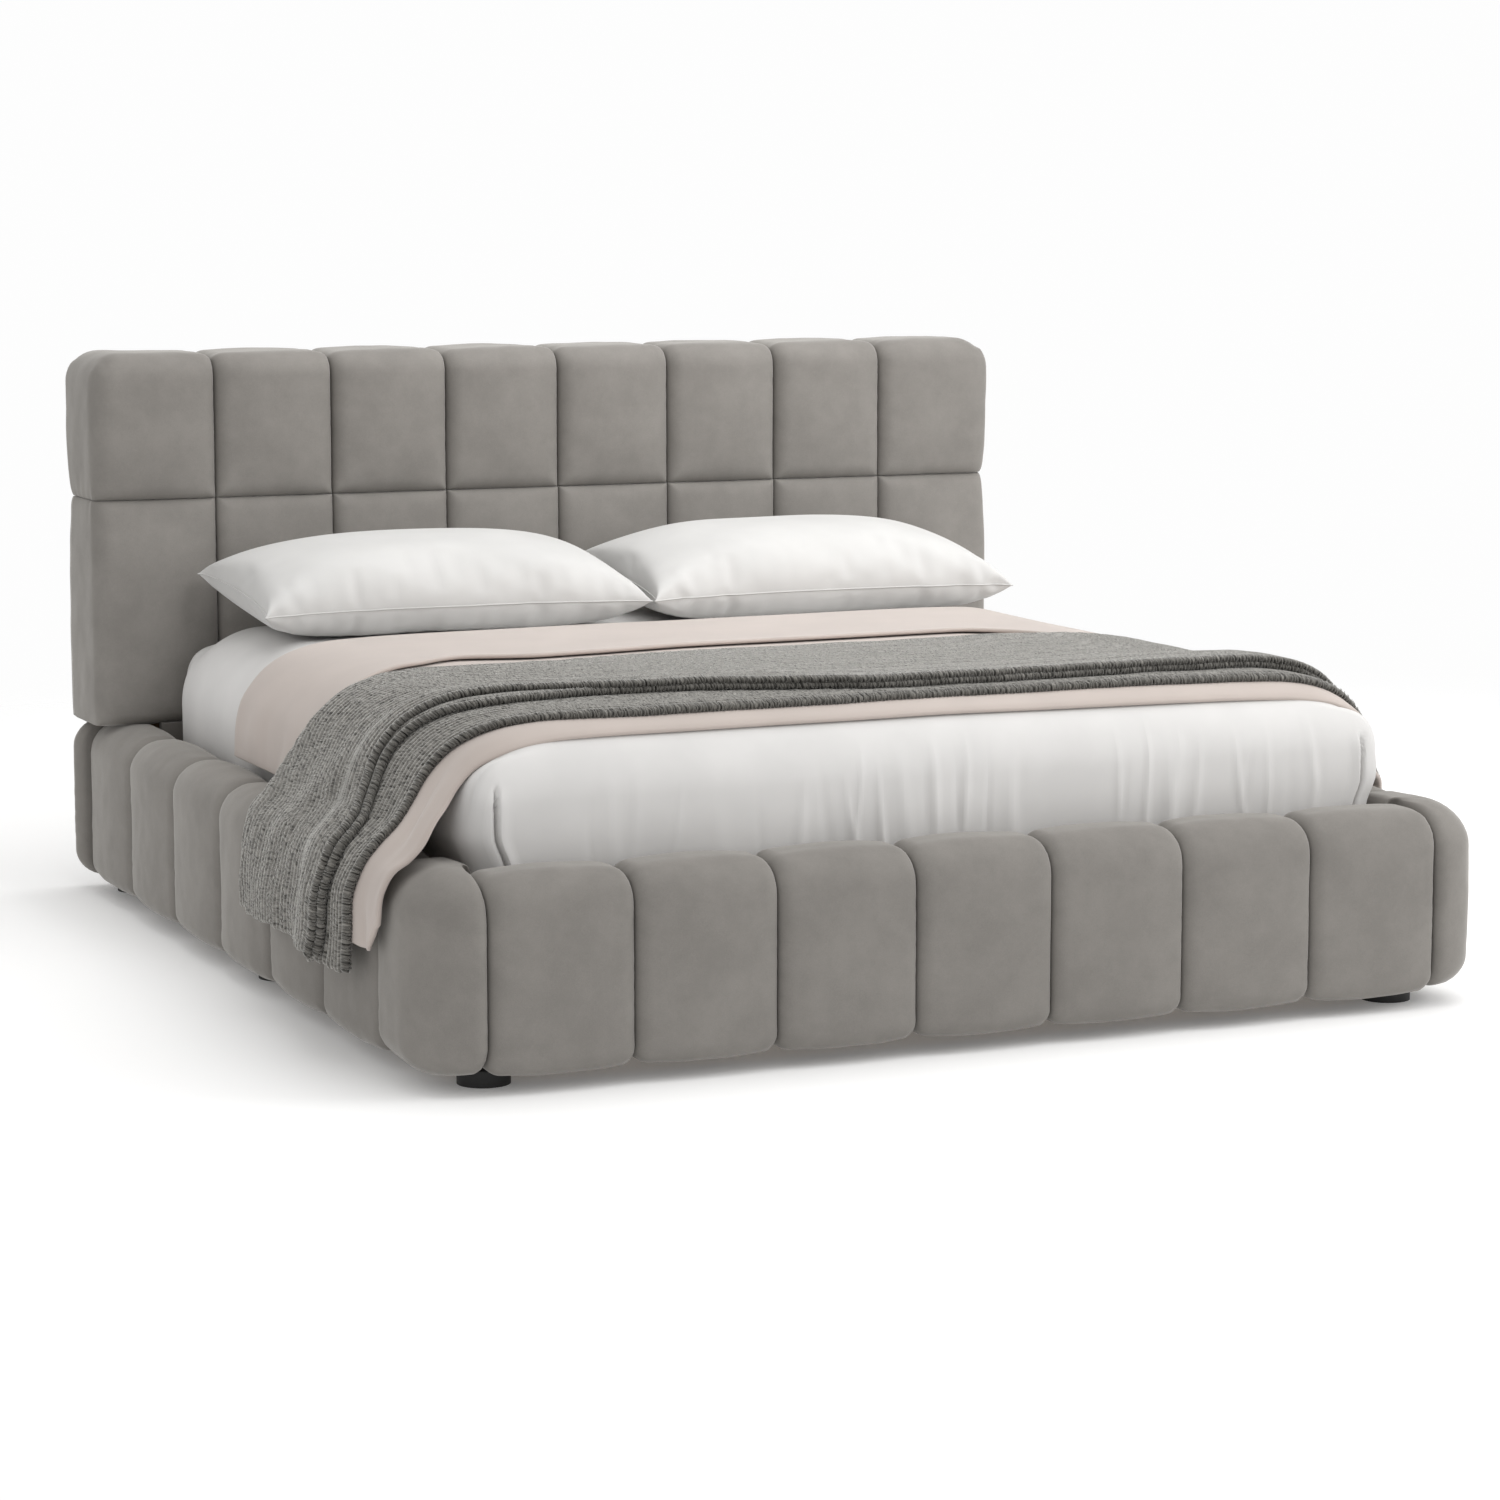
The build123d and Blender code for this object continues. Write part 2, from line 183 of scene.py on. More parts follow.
def velvetFinish(name, tone, lift):
    finish, tree, shader = newFinish(name, 0.92)
    where = place(tree)
    dark, light = tones(tone, 0.93, 1.06)
    brushed = ramp(tree, grain(tree, where, 10, 6, 0.68), [(0.36, dark), (0.64, light)])
    pile = grain(tree, where, 620, 2, 0.6)
    flecks = ramp(tree, pile, [(0.3, grey(0.86)), (0.7, grey(1.08))])
    tree.links.new(mixColours(tree, 0.55, brushed, flecks, "MULTIPLY"), shader.inputs["Base Color"])
    setInputs(shader, {"Sheen Weight": lift, "Sheen Roughness": 0.3, "Specular IOR Level": 0.12})
    setInputs(shader, {"Sheen Tint": (0.95, 0.93, 0.9, 1)})
    strokes = grain(tree, where, 34, 5, 0.6)
    bumpUp(tree, shader, [(strokes, 0.12, 0.002), (pile, 0.16, 0.0006)])
    return finish


def clothFinish(name, tone, thread=0.0009, sheen=0.15, roughness=0.75, vary=0.03):
    finish, tree, shader = newFinish(name, roughness)
    where = place(tree)
    dark, light = tones(tone, 1 - vary, 1 + vary)
    shade = ramp(tree, grain(tree, where, 7, 3), [(0.35, dark), (0.65, light)])
    tree.links.new(shade, shader.inputs["Base Color"])
    setInputs(shader, {"Sheen Weight": sheen, "Sheen Roughness": 0.5, "Specular IOR Level": 0.2})
    heights = []
    for stretch in ((1, 0.04, 1), (0.04, 1, 0.3)):
        run = place(tree, stretch)
        heights.append((grain(tree, run, 1 / thread, 2), 0.1, 0.0004))
    bumpUp(tree, shader, heights)
    return finish


def knitFinish(name, dark, light):
    # marled yarn: short rows across the strip, wavy ribs along it
    finish, tree, shader = newFinish(name, 0.95)
    rows = grain(tree, place(tree, (210, 24, 1), "UV"), 1.0, 2, 0.6)
    loops = grain(tree, place(tree, (175, 150, 1), "UV"), 1.0, 2, 0.6)
    ribs = grain(tree, place(tree, (2, 22, 1), "UV"), 1.0, 1, 0.5)
    share = ramp(tree, ribs, [(0.5, grey(0.1)), (0.58, grey(0.9))])
    height = mixColours(tree, share, rows, loops)
    middle = tuple(a * 0.45 + b * 0.55 for a, b in zip(dark, light))
    marl = ramp(tree, height, [(0.36, dark), (0.48, middle), (0.62, light)])
    blotch = grain(tree, place(tree), 42, 3, 0.6)
    shade = ramp(tree, blotch, [(0.3, grey(0.8)), (0.7, grey(1.1))])
    cloth = mixColours(tree, 0.8, marl, shade, "MULTIPLY")
    # painted shade: the overcast edge is darker, in teeth that run in from it, standing in for the shadow between
    # the stitches
    edgeShadeTeeth = grain(tree, place(tree, (150, 5, 1), "UV"), 1.0, 1, 0.5)
    edgeShadeTeeth = ramp(tree, edgeShadeTeeth, [(0.42, grey(0.2)), (0.56, grey(1.15))])
    split = tree.nodes.new("ShaderNodeSeparateXYZ")
    tree.links.new(place(tree, (1, 1, 1), "UV"), split.inputs["Vector"])
    # the painted edge shade is strongest at the edge and fades out 12 to 26 mm in from it
    near = tree.nodes.new("ShaderNodeMapRange")
    setInputs(near, {"From Min": 0.012, "From Max": 0.026, "To Min": 0.85, "To Max": 0.0})
    tree.links.new(split.outputs["Y"], near.inputs["Value"])
    edgeShaded = mixColours(tree, near.outputs["Result"], cloth, edgeShadeTeeth, "MULTIPLY")
    tree.links.new(edgeShaded, shader.inputs["Base Color"])
    setInputs(shader, {"Sheen Weight": 0.9, "Sheen Roughness": 0.35, "Specular IOR Level": 0.1})
    setInputs(shader, {"Sheen Tint": (0.97, 0.96, 0.93, 1)})
    bumpUp(tree, shader, [(height, 1.0, 0.005)])
    return finish


def timberFinish(name, pale, dark, along=(1, 1, 1)):
    finish, tree, shader = newFinish(name, 0.55)
    where = place(tree, along)
    rings = grain(tree, where, 26, 6, 0.65)
    tree.links.new(ramp(tree, rings, [(0.3, dark), (0.62, pale)]), shader.inputs["Base Color"])
    bumpUp(tree, shader, [(rings, 0.15, 0.001)])
    return finish


def hardFinish(name, tone, roughness, metallic=0.0, speck=500):
    finish, tree, shader = newFinish(name, roughness)
    texture = grain(tree, place(tree), speck, 2)
    low, high = tones(tone, 0.85, 1.15)
    tree.links.new(ramp(tree, texture, [(0.3, low), (0.7, high)]), shader.inputs["Base Color"])
    setInputs(shader, {"Metallic": metallic})
    bumpUp(tree, shader, [(texture, 0.1, 0.0003)])
    return finish


velvet = velvetFinish("taupeVelvet", (0.235, 0.222, 0.206), 0.55)
backingCloth = clothFinish("backingCloth", (0.15, 0.14, 0.13), 0.0014, 0.1, 0.9)
whiteCotton = clothFinish("whiteCotton", (0.665, 0.655, 0.645))
pillowCotton = clothFinish("pillowCotton", (0.57, 0.565, 0.555))
beigeSateen = clothFinish("beigeSateen", (0.47, 0.41, 0.375), 0.0007, 0.25, 0.6)
greyKnit = knitFinish("greyKnit", (0.03, 0.0275, 0.024), (0.26, 0.25, 0.23))
pine = timberFinish("pine", (0.62, 0.45, 0.27), (0.47, 0.31, 0.17), (1, 0.08, 1))
birch = timberFinish("birch", (0.72, 0.58, 0.4), (0.6, 0.45, 0.29), (0.08, 1, 1))
plywood = timberFinish("plywood", (0.58, 0.42, 0.26), (0.45, 0.31, 0.18), (0.1, 1, 1))
blackPlastic = hardFinish("blackPlastic", grey(0.012), 0.55)
blackSteel = hardFinish("blackSteel", (0.02, 0.02, 0.021), 0.42)
zincSteel = hardFinish("zincSteel", (0.55, 0.55, 0.53), 0.35, 1.0)
print("finishes ready")

nodeFinish = {
    "feet": blackPlastic,
    **{f"centre_leg_glide_{k}": blackPlastic for k in (1, 2, 3)},
    "centre_legs": blackSteel,
    "beam_hangers": blackSteel,
    "headboard_bolts": zincSteel,
    "slats": birch,
    "headboard_front_panel": plywood,
    # the head cross rail is wrapped in the dark lining, and its dark also stands in for the shadow gap under the
    # headboard: painted shade in part
    "head_cross_rail": backingCloth,
}
for nodeName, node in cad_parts.items():
    node.data.materials.clear()
    node.data.materials.append(nodeFinish.get(nodeName, pine))


# Padded blocks: a closed box of cloth, rolled in where it is sewn to its neighbour, round at its free edges

def rollStations(width, count=7):
    return [width * (1 - math.cos(math.pi / 2 * k / count)) for k in range(count + 1)]


def edgeStations(radius, count=5):
    return [radius * (1 - math.tan(math.pi / 4 * (1 - k / count))) for k in range(count + 1)]


def boxLattice(low, high, ends, step, extra=((), (), ())):
    # the skin of a box; ends holds the wanted stations at both ends of each axis
    lines = []
    for axis in range(3):
        length = high[axis] - low[axis]
        first, last = ends[axis]
        places = list(first) + [length - e for e in last] + list(extra[axis])
        start, stop = first[-1], length - last[-1]
        count = max(1, round((stop - start) / step))
        places += [start + (stop - start) * k / count for k in range(1, count)]
        lines.append(sorted(set(round(p, 6) for p in places if -1e-6 <= p <= length + 1e-6)))
    count = [len(line) for line in lines]
    index = {}
    points = []
    faces = []

    def corner(i, j, k):
        if (i, j, k) not in index:
            index[(i, j, k)] = len(points)
            points.append((low[0] + lines[0][i], low[1] + lines[1][j], low[2] + lines[2][k]))
        return index[(i, j, k)]

    for axis in range(3):
        u, v = (axis + 1) % 3, (axis + 2) % 3
        for end in (0, count[axis] - 1):
            for a in range(count[u] - 1):
                for b in range(count[v] - 1):
                    ring = []
                    for da, db in ((0, 0), (1, 0), (1, 1), (0, 1)):
                        spot = [0, 0, 0]
                        spot[axis], spot[u], spot[v] = end, a + da, b + db
                        ring.append(corner(*spot))
                    faces.append(ring if end else ring[::-1])
    return np.array(points), faces


def roundOff(points, axes, centre, radius, side):
    a, b = axes
    da = (points[:, a] - centre[0]) * side[0]
    db = (points[:, b] - centre[1]) * side[1]
    inside = (da > 0) & (db > 0)
    square = np.maximum(da, db)
    length = np.hypot(da, db)
    scale = np.where(inside, square / np.maximum(length, 1e-9), 1)
    scale = 1 + (scale - 1) * np.where(inside, np.clip(square / radius, 0, 1), 0)
    points[:, a] = np.where(inside, centre[0] + side[0] * da * scale, points[:, a])
    points[:, b] = np.where(inside, centre[1] + side[1] * db * scale, points[:, b])
    return points


def seamRise(distance, width):
    # 0 at a seam, 1 where the cloth has come up out of it
    near = np.clip(1 - np.asarray(distance) / width, 0, 1)
    return np.sqrt(np.clip(1 - near**2.2, 0, 1))


def paddedBlock(low, high, look, seams, rounds, outAxis, seed):
    # seams: (axis, sign) to depths; rounds: (axis, sign, axis, sign, radius)
    low, high = np.array(low, float), np.array(high, float)
    ends = []
    for axis in range(3):
        pair = []
        for sign in (-1, 1):
            if (axis, sign) in seams:
                pair.append(rollStations(look["roll"]))
            else:
                radii = [r[4] for r in rounds if (axis, sign) in ((r[0], r[1]), (r[2], r[3]))]
                pair.append(edgeStations(max(radii)) if radii else [0.0])
        ends.append(pair)
    points, faces = boxLattice(low, high, ends, look["step"])
    flat = points.copy()
    for axisA, signA, axisB, signB, radius in rounds:
        faceA = high[axisA] if signA > 0 else low[axisA]
        faceB = high[axisB] if signB > 0 else low[axisB]
        centre = (faceA - signA * radius, faceB - signB * radius)
        points = roundOff(points, (axisA, axisB), centre, radius, (signA, signB))
    # outward direction, 1 long on the skin and fading inside; seam faces have none of their own
    reach = look["reach"]
    coreLow, coreHigh = low + reach, high - reach
    for axis, sign in seams:
        if sign < 0:
            coreLow[axis] = low[axis] - 1
        else:
            coreHigh[axis] = high[axis] + 1
    for axis in range(3):
        if coreLow[axis] > coreHigh[axis]:
            coreLow[axis] = coreHigh[axis] = (low[axis] + high[axis]) / 2
    outward = (points - np.clip(points, coreLow, coreHigh)) / reach
    size = np.linalg.norm(outward, axis=1, keepdims=True)
    outward /= np.maximum(size, 1)
    rise = np.ones(len(points))
    crown = np.ones(len(points))
    sink = np.zeros((len(points), 3))
    gathers = np.zeros(len(points))
    for (axis, sign), depth in seams.items():
        distance = flat[:, axis] - low[axis] if sign < 0 else high[axis] - flat[:, axis]
        drop = 1 - seamRise(distance, look["roll"])
        sink = np.maximum(sink, drop[:, None] * np.array(depth))
        half = (high[axis] - low[axis]) / 2
        crown *= 1 - np.clip(1 - distance / half, 0, 1) ** look["crownPower"]
        others = [i for i in range(3) if i != axis]
        run = flat[:, others[0]] * 0.7 + flat[:, others[1]]
        wave = np.sin(run * look["gatherRate"] + 5 * softNoise(flat, 6, seed + axis))
        wave *= np.clip(0.4 + softNoise(flat, 9, seed + axis + 3) * 2, 0, 1)
        gathers += wave * np.exp(-distance / 0.03) * (1 - drop * 0.5)
    swell = look["crown"] * crown * np.array([look["crownSide"]] * 3)[:, None]
    swell[outAxis] = look["crown"] * crown
    points = points - outward * sink + outward * swell.T + outward * (gathers * look["gather"])[:, None]
    uneven = softNoise(points, 8, seed) + 0.5 * softNoise(points, 21, seed + 5)
    points += outward * (uneven * look["unevenness"])[:, None]
    return points, faces


def carve(piece, boxes):
    for low, high in boxes:
        size = [high[i] - low[i] for i in range(3)]
        middle = [(high[i] + low[i]) / 2 for i in range(3)]
        mesh = bpy.data.meshes.new("cutter")
        form = bmesh.new()
        bmesh.ops.create_cube(form, size=1)
        bmesh.ops.scale(form, vec=size, verts=form.verts)
        bmesh.ops.translate(form, vec=middle, verts=form.verts)
        form.to_mesh(mesh)
        form.free()
        cutter = addObject("cutter", mesh)
        cut = piece.modifiers.new("cut", "BOOLEAN")
        cut.operation = "DIFFERENCE"
        cut.solver = "MANIFOLD"
        cut.object = cutter
        applyModifiers(piece)
        bpy.data.objects.remove(cutter)


def upholster(name, shape, cuts, node):
    pad = meshPiece(name, *shape, velvet, "bed", "upholstery")
    if cuts:
        carve(pad, cuts)
    if node:
        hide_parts(node)


# Base padding

basePad = {
    "roll": 0.03,         # how far from a seam the cloth turns down into it
    "depth": 0.021,       # and how deep the seam lies
    "topDepth": 0.023,
    "crown": 0.011,       # how far a channel stands out between seams
    "crownPower": 2.2,
    "crownSide": 0.75,    # share of that on its top
    "topRound": 0.07,
    "innerRound": 0.04,
    "bottomRound": 0.034,
    "reach": 0.055,
    "step": 0.012,
    "unevenness": 0.0017,
    "gather": 0.0011,
    "gatherRate": 170,
}
footLow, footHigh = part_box("footboard_channel_1")
sideLow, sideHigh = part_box("left_rail_channels")
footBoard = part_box("foot_board")
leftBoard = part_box("left_side_board")
baseTop, baseBottom = footHigh.z, footLow.z
seamGap = 0.0005
boardGap = 0.0006

boardBoxes = []
for boardLow, boardHigh in (footBoard, leftBoard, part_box("right_side_board")):
    boxLow = [boardLow[i] - boardGap for i in range(3)]
    boxHigh = [boardHigh[i] + boardGap for i in range(3)]
    boxLow[2] = -0.1
    boardBoxes.append((boxLow, boxHigh))
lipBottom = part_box("head_cross_rail")[1].z - 0.07
wellBox = ([leftBoard[0].x, footBoard[0].y, -0.1], [-leftBoard[0].x, 1.5, lipBottom])
seamDepth = (basePad["depth"], basePad["depth"], basePad["topDepth"])


def railPad(low, high, outAxis, outSign, seed):
    low, high = list(low), list(high)
    high[2] -= basePad["crown"] * basePad["crownSide"] * 0.6
    along = 1 - outAxis
    if outSign > 0:
        high[outAxis] -= basePad["crown"]
    else:
        low[outAxis] += basePad["crown"]
    seams = {(along, -1): seamDepth, (along, 1): seamDepth}
    rounds = [
        (outAxis, outSign, 2, 1, basePad["topRound"]),
        (outAxis, -outSign, 2, 1, basePad["innerRound"]),
        (outAxis, outSign, 2, -1, basePad["bottomRound"]),
    ]
    return paddedBlock(low, high, basePad, seams, rounds, outAxis, seed)


footCount = 7
pitch = footHigh.x - footLow.x + 0.001
footStart = -pitch * footCount / 2
for index in range(footCount):
    low = (footStart + pitch * index + seamGap, footLow.y, baseBottom)
    high = (footStart + pitch * (index + 1) - seamGap, footHigh.y, baseTop)
    shape = railPad(low, high, 1, -1, 3 + index)
    upholster(f"footChannel{index + 1}", shape, [boardBoxes[0], wellBox], f"footboard_channel_{index + 1}")
print("foot channels done")

sideCount = 6
sidePitch = (sideHigh.y - sideLow.y + 0.001) / sideCount
for name, sign in (("left", -1), ("right", 1)):
    inner, outer = sign * abs(sideHigh.x), sign * abs(sideLow.x)
    for index in range(sideCount):
        start = sideLow.y - 0.0005 + sidePitch * index
        low = (min(inner, outer), start + seamGap, baseBottom)
        high = (max(inner, outer), start + sidePitch - seamGap, baseTop)
        shape = railPad(low, high, 0, sign, 20 + index + 7 * sign)
        cuts = [boardBoxes[1 if sign < 0 else 2], wellBox]
        upholster(f"{name}Channel{index + 1}", shape, cuts, None if index else f"{name}_rail_channels")
print("side channels done")


def bendRound(points, faces, thick, outer, inner):
    # lays a straight pad between two lines in plan
    share = points[:, 0]
    out = points[:, 1] / thick
    outX, outY = outer(share)
    inX, inY = inner(share)
    bent = np.stack([inX + (outX - inX) * out, inY + (outY - inY) * out, points[:, 2]], axis=1)
    form = bmesh.new()
    for p in bent:
        form.verts.new(p)
    form.verts.ensure_lookup_table()
    for ring in faces:
        form.faces.new([form.verts[i] for i in ring])
    bmesh.ops.remove_doubles(form, verts=form.verts, dist=0.00002)
    bmesh.ops.recalc_face_normals(form, faces=form.faces)
    form.verts.index_update()
    merged = [tuple(v.co) for v in form.verts]
    rings = [tuple(v.index for v in face.verts) for face in form.faces]
    form.free()
    return merged, rings


frontLook = {
    "radius": 0.14,
    "thick": 0.14,
    "crownShare": 0.8,    # a corner stands out less than a channel
    "topRound": 0.085,
    "innerRound": 0.02,
    "bottomRound": 0.06,
}
rearLook = {
    "radius": 0.056,
    "outward": 0.012,     # how far it stands past its CAD shape at the side
    "backward": 0.01,     # and at the back
    "seam": (0.018, 0.018, 0.016),
    "topRound": 0.066,
    "bottomRound": 0.055,
    "pad": {**basePad, "roll": 0.028, "reach": 0.036, "crown": 0.005, "step": 0.008},
}


def cornerLine(t, sign, straight, radius, outX, startY, way):
    # along the side, then round; way is -1 towards the foot and 1 towards the head
    turn = np.clip((t - straight) / radius, 0, None)
    x = np.where(t < straight, outX, outX - radius + radius * np.cos(turn))
    y = np.where(t < straight, startY + way * t, startY + way * (straight + radius * np.sin(turn)))
    return sign * x, y


def frontCorner(name, node, sign):
    low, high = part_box(node)
    radius, thick, stand = frontLook["radius"], frontLook["thick"], basePad["crown"] * 0.4
    outX, seamX = max(abs(low.x), abs(high.x)) - stand, min(abs(low.x), abs(high.x))
    straight = high.y - low.y - stand - radius
    length = straight + math.acos((seamX - outX + radius) / radius) * radius
    side = high.y - footHigh.y

    def innerLine(t):
        x = np.where(t < side, outX - thick, outX - thick + (seamX - outX + thick) * (t - side) / (length - side))
        return sign * x, np.where(t < side, high.y - t, footHigh.y)

    seams = {(0, -1): seamDepth, (0, 1): seamDepth}
    rounds = [
        (1, 1, 2, 1, frontLook["topRound"]),
        (1, -1, 2, 1, frontLook["innerRound"]),
        (1, 1, 2, -1, frontLook["bottomRound"]),
    ]
    look = {**basePad, "crown": basePad["crown"] * frontLook["crownShare"]}
    start, end = (seamGap, 0, baseBottom), (length - seamGap, thick, baseTop)
    points, faces = paddedBlock(start, end, look, seams, rounds, 1, 33 + sign)
    shape = bendRound(
        points, faces, thick, lambda t: cornerLine(t, sign, straight, radius, outX, high.y, -1), innerLine
    )
    upholster(name, shape, [boardBoxes[0], boardBoxes[1 if sign < 0 else 2], wellBox], node)


def rearCorner(name, node, sign):
    low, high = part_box(node)
    radius, inX = rearLook["radius"], min(abs(low.x), abs(high.x))
    outX = max(abs(low.x), abs(high.x)) + rearLook["outward"]
    straight = high.y + rearLook["backward"] - radius - low.y
    length = straight + math.pi / 2 * radius
    thick = outX - inX
    rounds = [(1, 1, 2, 1, rearLook["topRound"]), (1, 1, 2, -1, rearLook["bottomRound"])]
    start, end = (seamGap, 0, baseBottom), (length, thick, baseTop)
    seams = {(0, -1): rearLook["seam"]}
    points, faces = paddedBlock(start, end, rearLook["pad"], seams, rounds, 1, 55 + sign)
    shape = bendRound(
        points,
        faces,
        thick,
        lambda t: cornerLine(t, sign, straight, radius, outX, low.y, 1),
        lambda t: (sign * (inX + 0 * t), low.y + 0.0005 + 0.004 * t / length),
    )
    upholster(name, shape, [], node)


for name, sign in (("Left", -1), ("Right", 1)):
    frontCorner(f"frontCorner{name}", f"front_corner_pad_{name.lower()}", sign)
    rearCorner(f"rearCorner{name}", f"rear_corner_pad_{name.lower()}", sign)
print("corner pads done")


# Headboard

headPad = {
    "roll": 0.034,
    "depth": 0.026,
    "rowDepth": 0.018,    # the level seam is shallower than the upright ones
    "crown": 0.024,
    "crownPower": 2.1,
    "crownSide": 0.2,
    "topRound": 0.05,
    "endRound": 0.034,
    "cornerRound": 0.066,
    "bottomRound": 0.026,
    "reach": 0.05,
    "step": 0.012,
    "unevenness": 0.0022,
    "gather": 0.0013,
    "gatherRate": 150,
}
panelLow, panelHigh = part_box("headboard_front_panel")
coreBox = (
    [panelLow.x - boardGap, panelLow.y - boardGap, 0.0],
    [panelHigh.x + boardGap, 1.5, panelHigh.z + boardGap],
)
columns = 8


def headSquare(row, column):
    node = f"headboard_pad_{row}_{column + 1}"
    low, high = (list(v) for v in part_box(node))
    top = row == "top"
    low[1] += headPad["crown"]
    upright = (0.006, headPad["depth"], headPad["depth"] * 0.7)
    level = (0.005, headPad["rowDepth"], 0.0)
    seams = {(2, -1 if top else 1): level}
    rounds = []
    if column > 0:
        seams[(0, -1)] = upright
    if column < columns - 1:
        seams[(0, 1)] = upright
    side = -1 if column == 0 else 1
    rounds.append((1, -1, 2, 1 if top else -1, headPad["topRound"] if top else headPad["bottomRound"]))
    if top:
        rounds.append((1, 1, 2, 1, 0.02))
    if column in (0, columns - 1):
        rounds.append((0, side, 1, -1, headPad["endRound"]))
        if top:
            rounds.append((0, side, 2, 1, headPad["cornerRound"]))
    seed = column + (50 if top else 70)
    shape = paddedBlock(low, high, headPad, seams, rounds, 1, seed)
    upholster(f"headSquare{row.capitalize()}{column + 1}", shape, [coreBox], node)


for row in ("bottom", "top"):
    for column in range(columns):
        headSquare(row, column)
print("headboard squares done")


# Plain lining on the back of the headboard and of the base

def backLining(name, node, seed):
    low, high = (list(v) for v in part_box(node))
    edge = edgeStations(0.004, 3)
    points, faces = boxLattice(low, high, ((edge, edge), ([0.0], edge), (edge, edge)), 0.03)
    for axis in (0, 2):
        for sign, face in ((-1, low[axis]), (1, high[axis])):
            points = roundOff(points, (axis, 1), (face - sign * 0.004, high[1] - 0.004), 0.004, (sign, 1))
    sag = softNoise(points, 3, seed) * 0.0012
    points[:, 1] -= np.where(points[:, 1] > (low[1] + high[1]) / 2, np.abs(sag), 0)
    cover = meshPiece(name, points, faces, backingCloth, "bed", "backing_cloth")
    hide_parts(node)


backLining("headboardBack", "headboard_back_panel", 5)
backLining("baseBack", "base_back_cover", 6)


# Mattress in its fitted sheet

mattressLook = {
    "sideRound": 0.18,    # soft shoulders along the sides
    "endRound": 0.13,     # and at the head and foot
    "underRound": 0.034,
    "cornerRound": 0.075,
    "swell": 0.022,       # how far it bulges over the rails near the foot
    "step": 0.014,
    "foldInset": 0.064,   # corner fold of the sheet, in from the mattress side
    "foldDepth": 0.02,
    "pucker": 0.0066,
}
mattressLow, mattressHigh = (list(v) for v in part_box("mattress"))


def makeMattress():
    foldX = mattressHigh[0] - mattressLook["foldInset"]
    near = [foldX + d for d in (-0.02, -0.012, -0.007, -0.004, -0.002, 0, 0.002, 0.004, 0.008, 0.014)]
    extraX = [x - mattressLow[0] for x in near] + [-x - mattressLow[0] for x in near]
    fine = [0.035 + 0.007 * k for k in range(260)]
    sideEdge, endEdge = edgeStations(mattressLook["sideRound"], 16), edgeStations(mattressLook["endRound"], 14)
    under = edgeStations(mattressLook["underRound"])
    ends = ((sideEdge, sideEdge), (endEdge, endEdge), (under, sideEdge))
    points, faces = boxLattice(mattressLow, mattressHigh, ends, mattressLook["step"], (extraX + fine, (), ()))
    top, bottom = mattressHigh[2], mattressLow[2]
    for axis in (0, 1):
        radius = mattressLook["endRound"] if axis else mattressLook["sideRound"]
        for sign, face in ((-1, mattressLow[axis]), (1, mattressHigh[axis])):
            points = roundOff(points, (axis, 2), (face - sign * radius, top - radius), radius, (sign, 1))
            under = mattressLook["underRound"]
            points = roundOff(points, (axis, 2), (face - sign * under, bottom + under), under, (sign, -1))
    corner = mattressLook["cornerRound"]
    for sx, fx in ((-1, mattressLow[0]), (1, mattressHigh[0])):
        for sy, fy in ((-1, mattressLow[1]), (1, mattressHigh[1])):
            points = roundOff(points, (0, 1), (fx - sx * corner, fy - sy * corner), corner, (sx, sy))
    x, y, z = points.T
    # the foot face: upright puckers where the sheet is pulled under, in two bunches
    onFoot = smoothStep(mattressLow[1] + 0.06, mattressLow[1] + 0.012, y)
    height = (z - bottom) / (top - bottom)
    pull = np.zeros(len(points))
    for start, stop, count, strong in ((-0.34, 0.17, 13, 1.0), (0.33, 0.82, 12, 0.9), (-0.78, -0.4, 6, 0.35)):
        for k in range(count):
            at = start + (stop - start) * ((k * 0.6180339 + 0.13) % 1)
            width = 0.005 + 0.009 * ((k * 0.7548777 + start) % 1) ** 2
            lean = 0.09 * (((k * 0.5698403 + stop) % 1) - 0.5)
            tall = 0.42 + 0.3 * ((k * 0.324718 + start) % 1)
            ridge = bell(x + lean * (1 - height) ** 2, at, width * (1.4 - 0.5 * height))
            strength = strong * (0.45 + 0.55 * ((k * 0.4142 + stop) % 1))
            pull += strength * ridge * smoothStep(tall + 0.25, tall - 0.3, height) * (1 if k % 3 else -0.6)
    wide = softNoise(points * np.array([1, 1, 0.25]), 5, 1)
    points[:, 1] -= onFoot * (mattressLook["pucker"] * pull + 0.004 * wide * smoothStep(0.95, 0.6, height))
    # slack waves on the long sides
    onSide = smoothStep(mattressHigh[0] - 0.05, mattressHigh[0] - 0.01, np.abs(x))
    points[:, 0] += np.sign(x) * onSide * 0.006 * softNoise(points * np.array([1, 1, 0.35]), 7, 4)
    # corner folds: the sheet's end is folded flat over itself
    for sign in (-1, 1):
        foldLine = sign * foldX
        beyond = (x - foldLine) * sign
        reach = smoothStep(top - 0.085, top - 0.13, z) * onFoot
        crease = bell(beyond, 0, 0.003)
        lap = smoothStep(-0.03, -0.003, beyond) * smoothStep(0.002, -0.001, beyond)
        points[:, 1] += reach * (mattressLook["foldDepth"] * crease - 0.005 * lap)
        points[:, 1] -= reach * 0.003 * bell(beyond, 0.02, 0.014)
    footward = smoothStep(-0.2, -0.85, y) * smoothStep(bottom + 0.05, bottom + 0.12, z)
    points[:, 0] += np.sign(x) * mattressLook["swell"] * footward * smoothStep(0.6, 0.95, np.abs(x))
    points[:, 2] -= 0.002 * (1 + softNoise(points, 3, 9)) * smoothStep(top - 0.05, top - 0.005, z)
    piece = meshPiece("mattressInSheet", points, faces, whiteCotton, "mattress", "white_sheet")
    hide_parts("mattress")


makeMattress()
print("mattress done")


# Pillows: two panels sewn round the edge and blown up

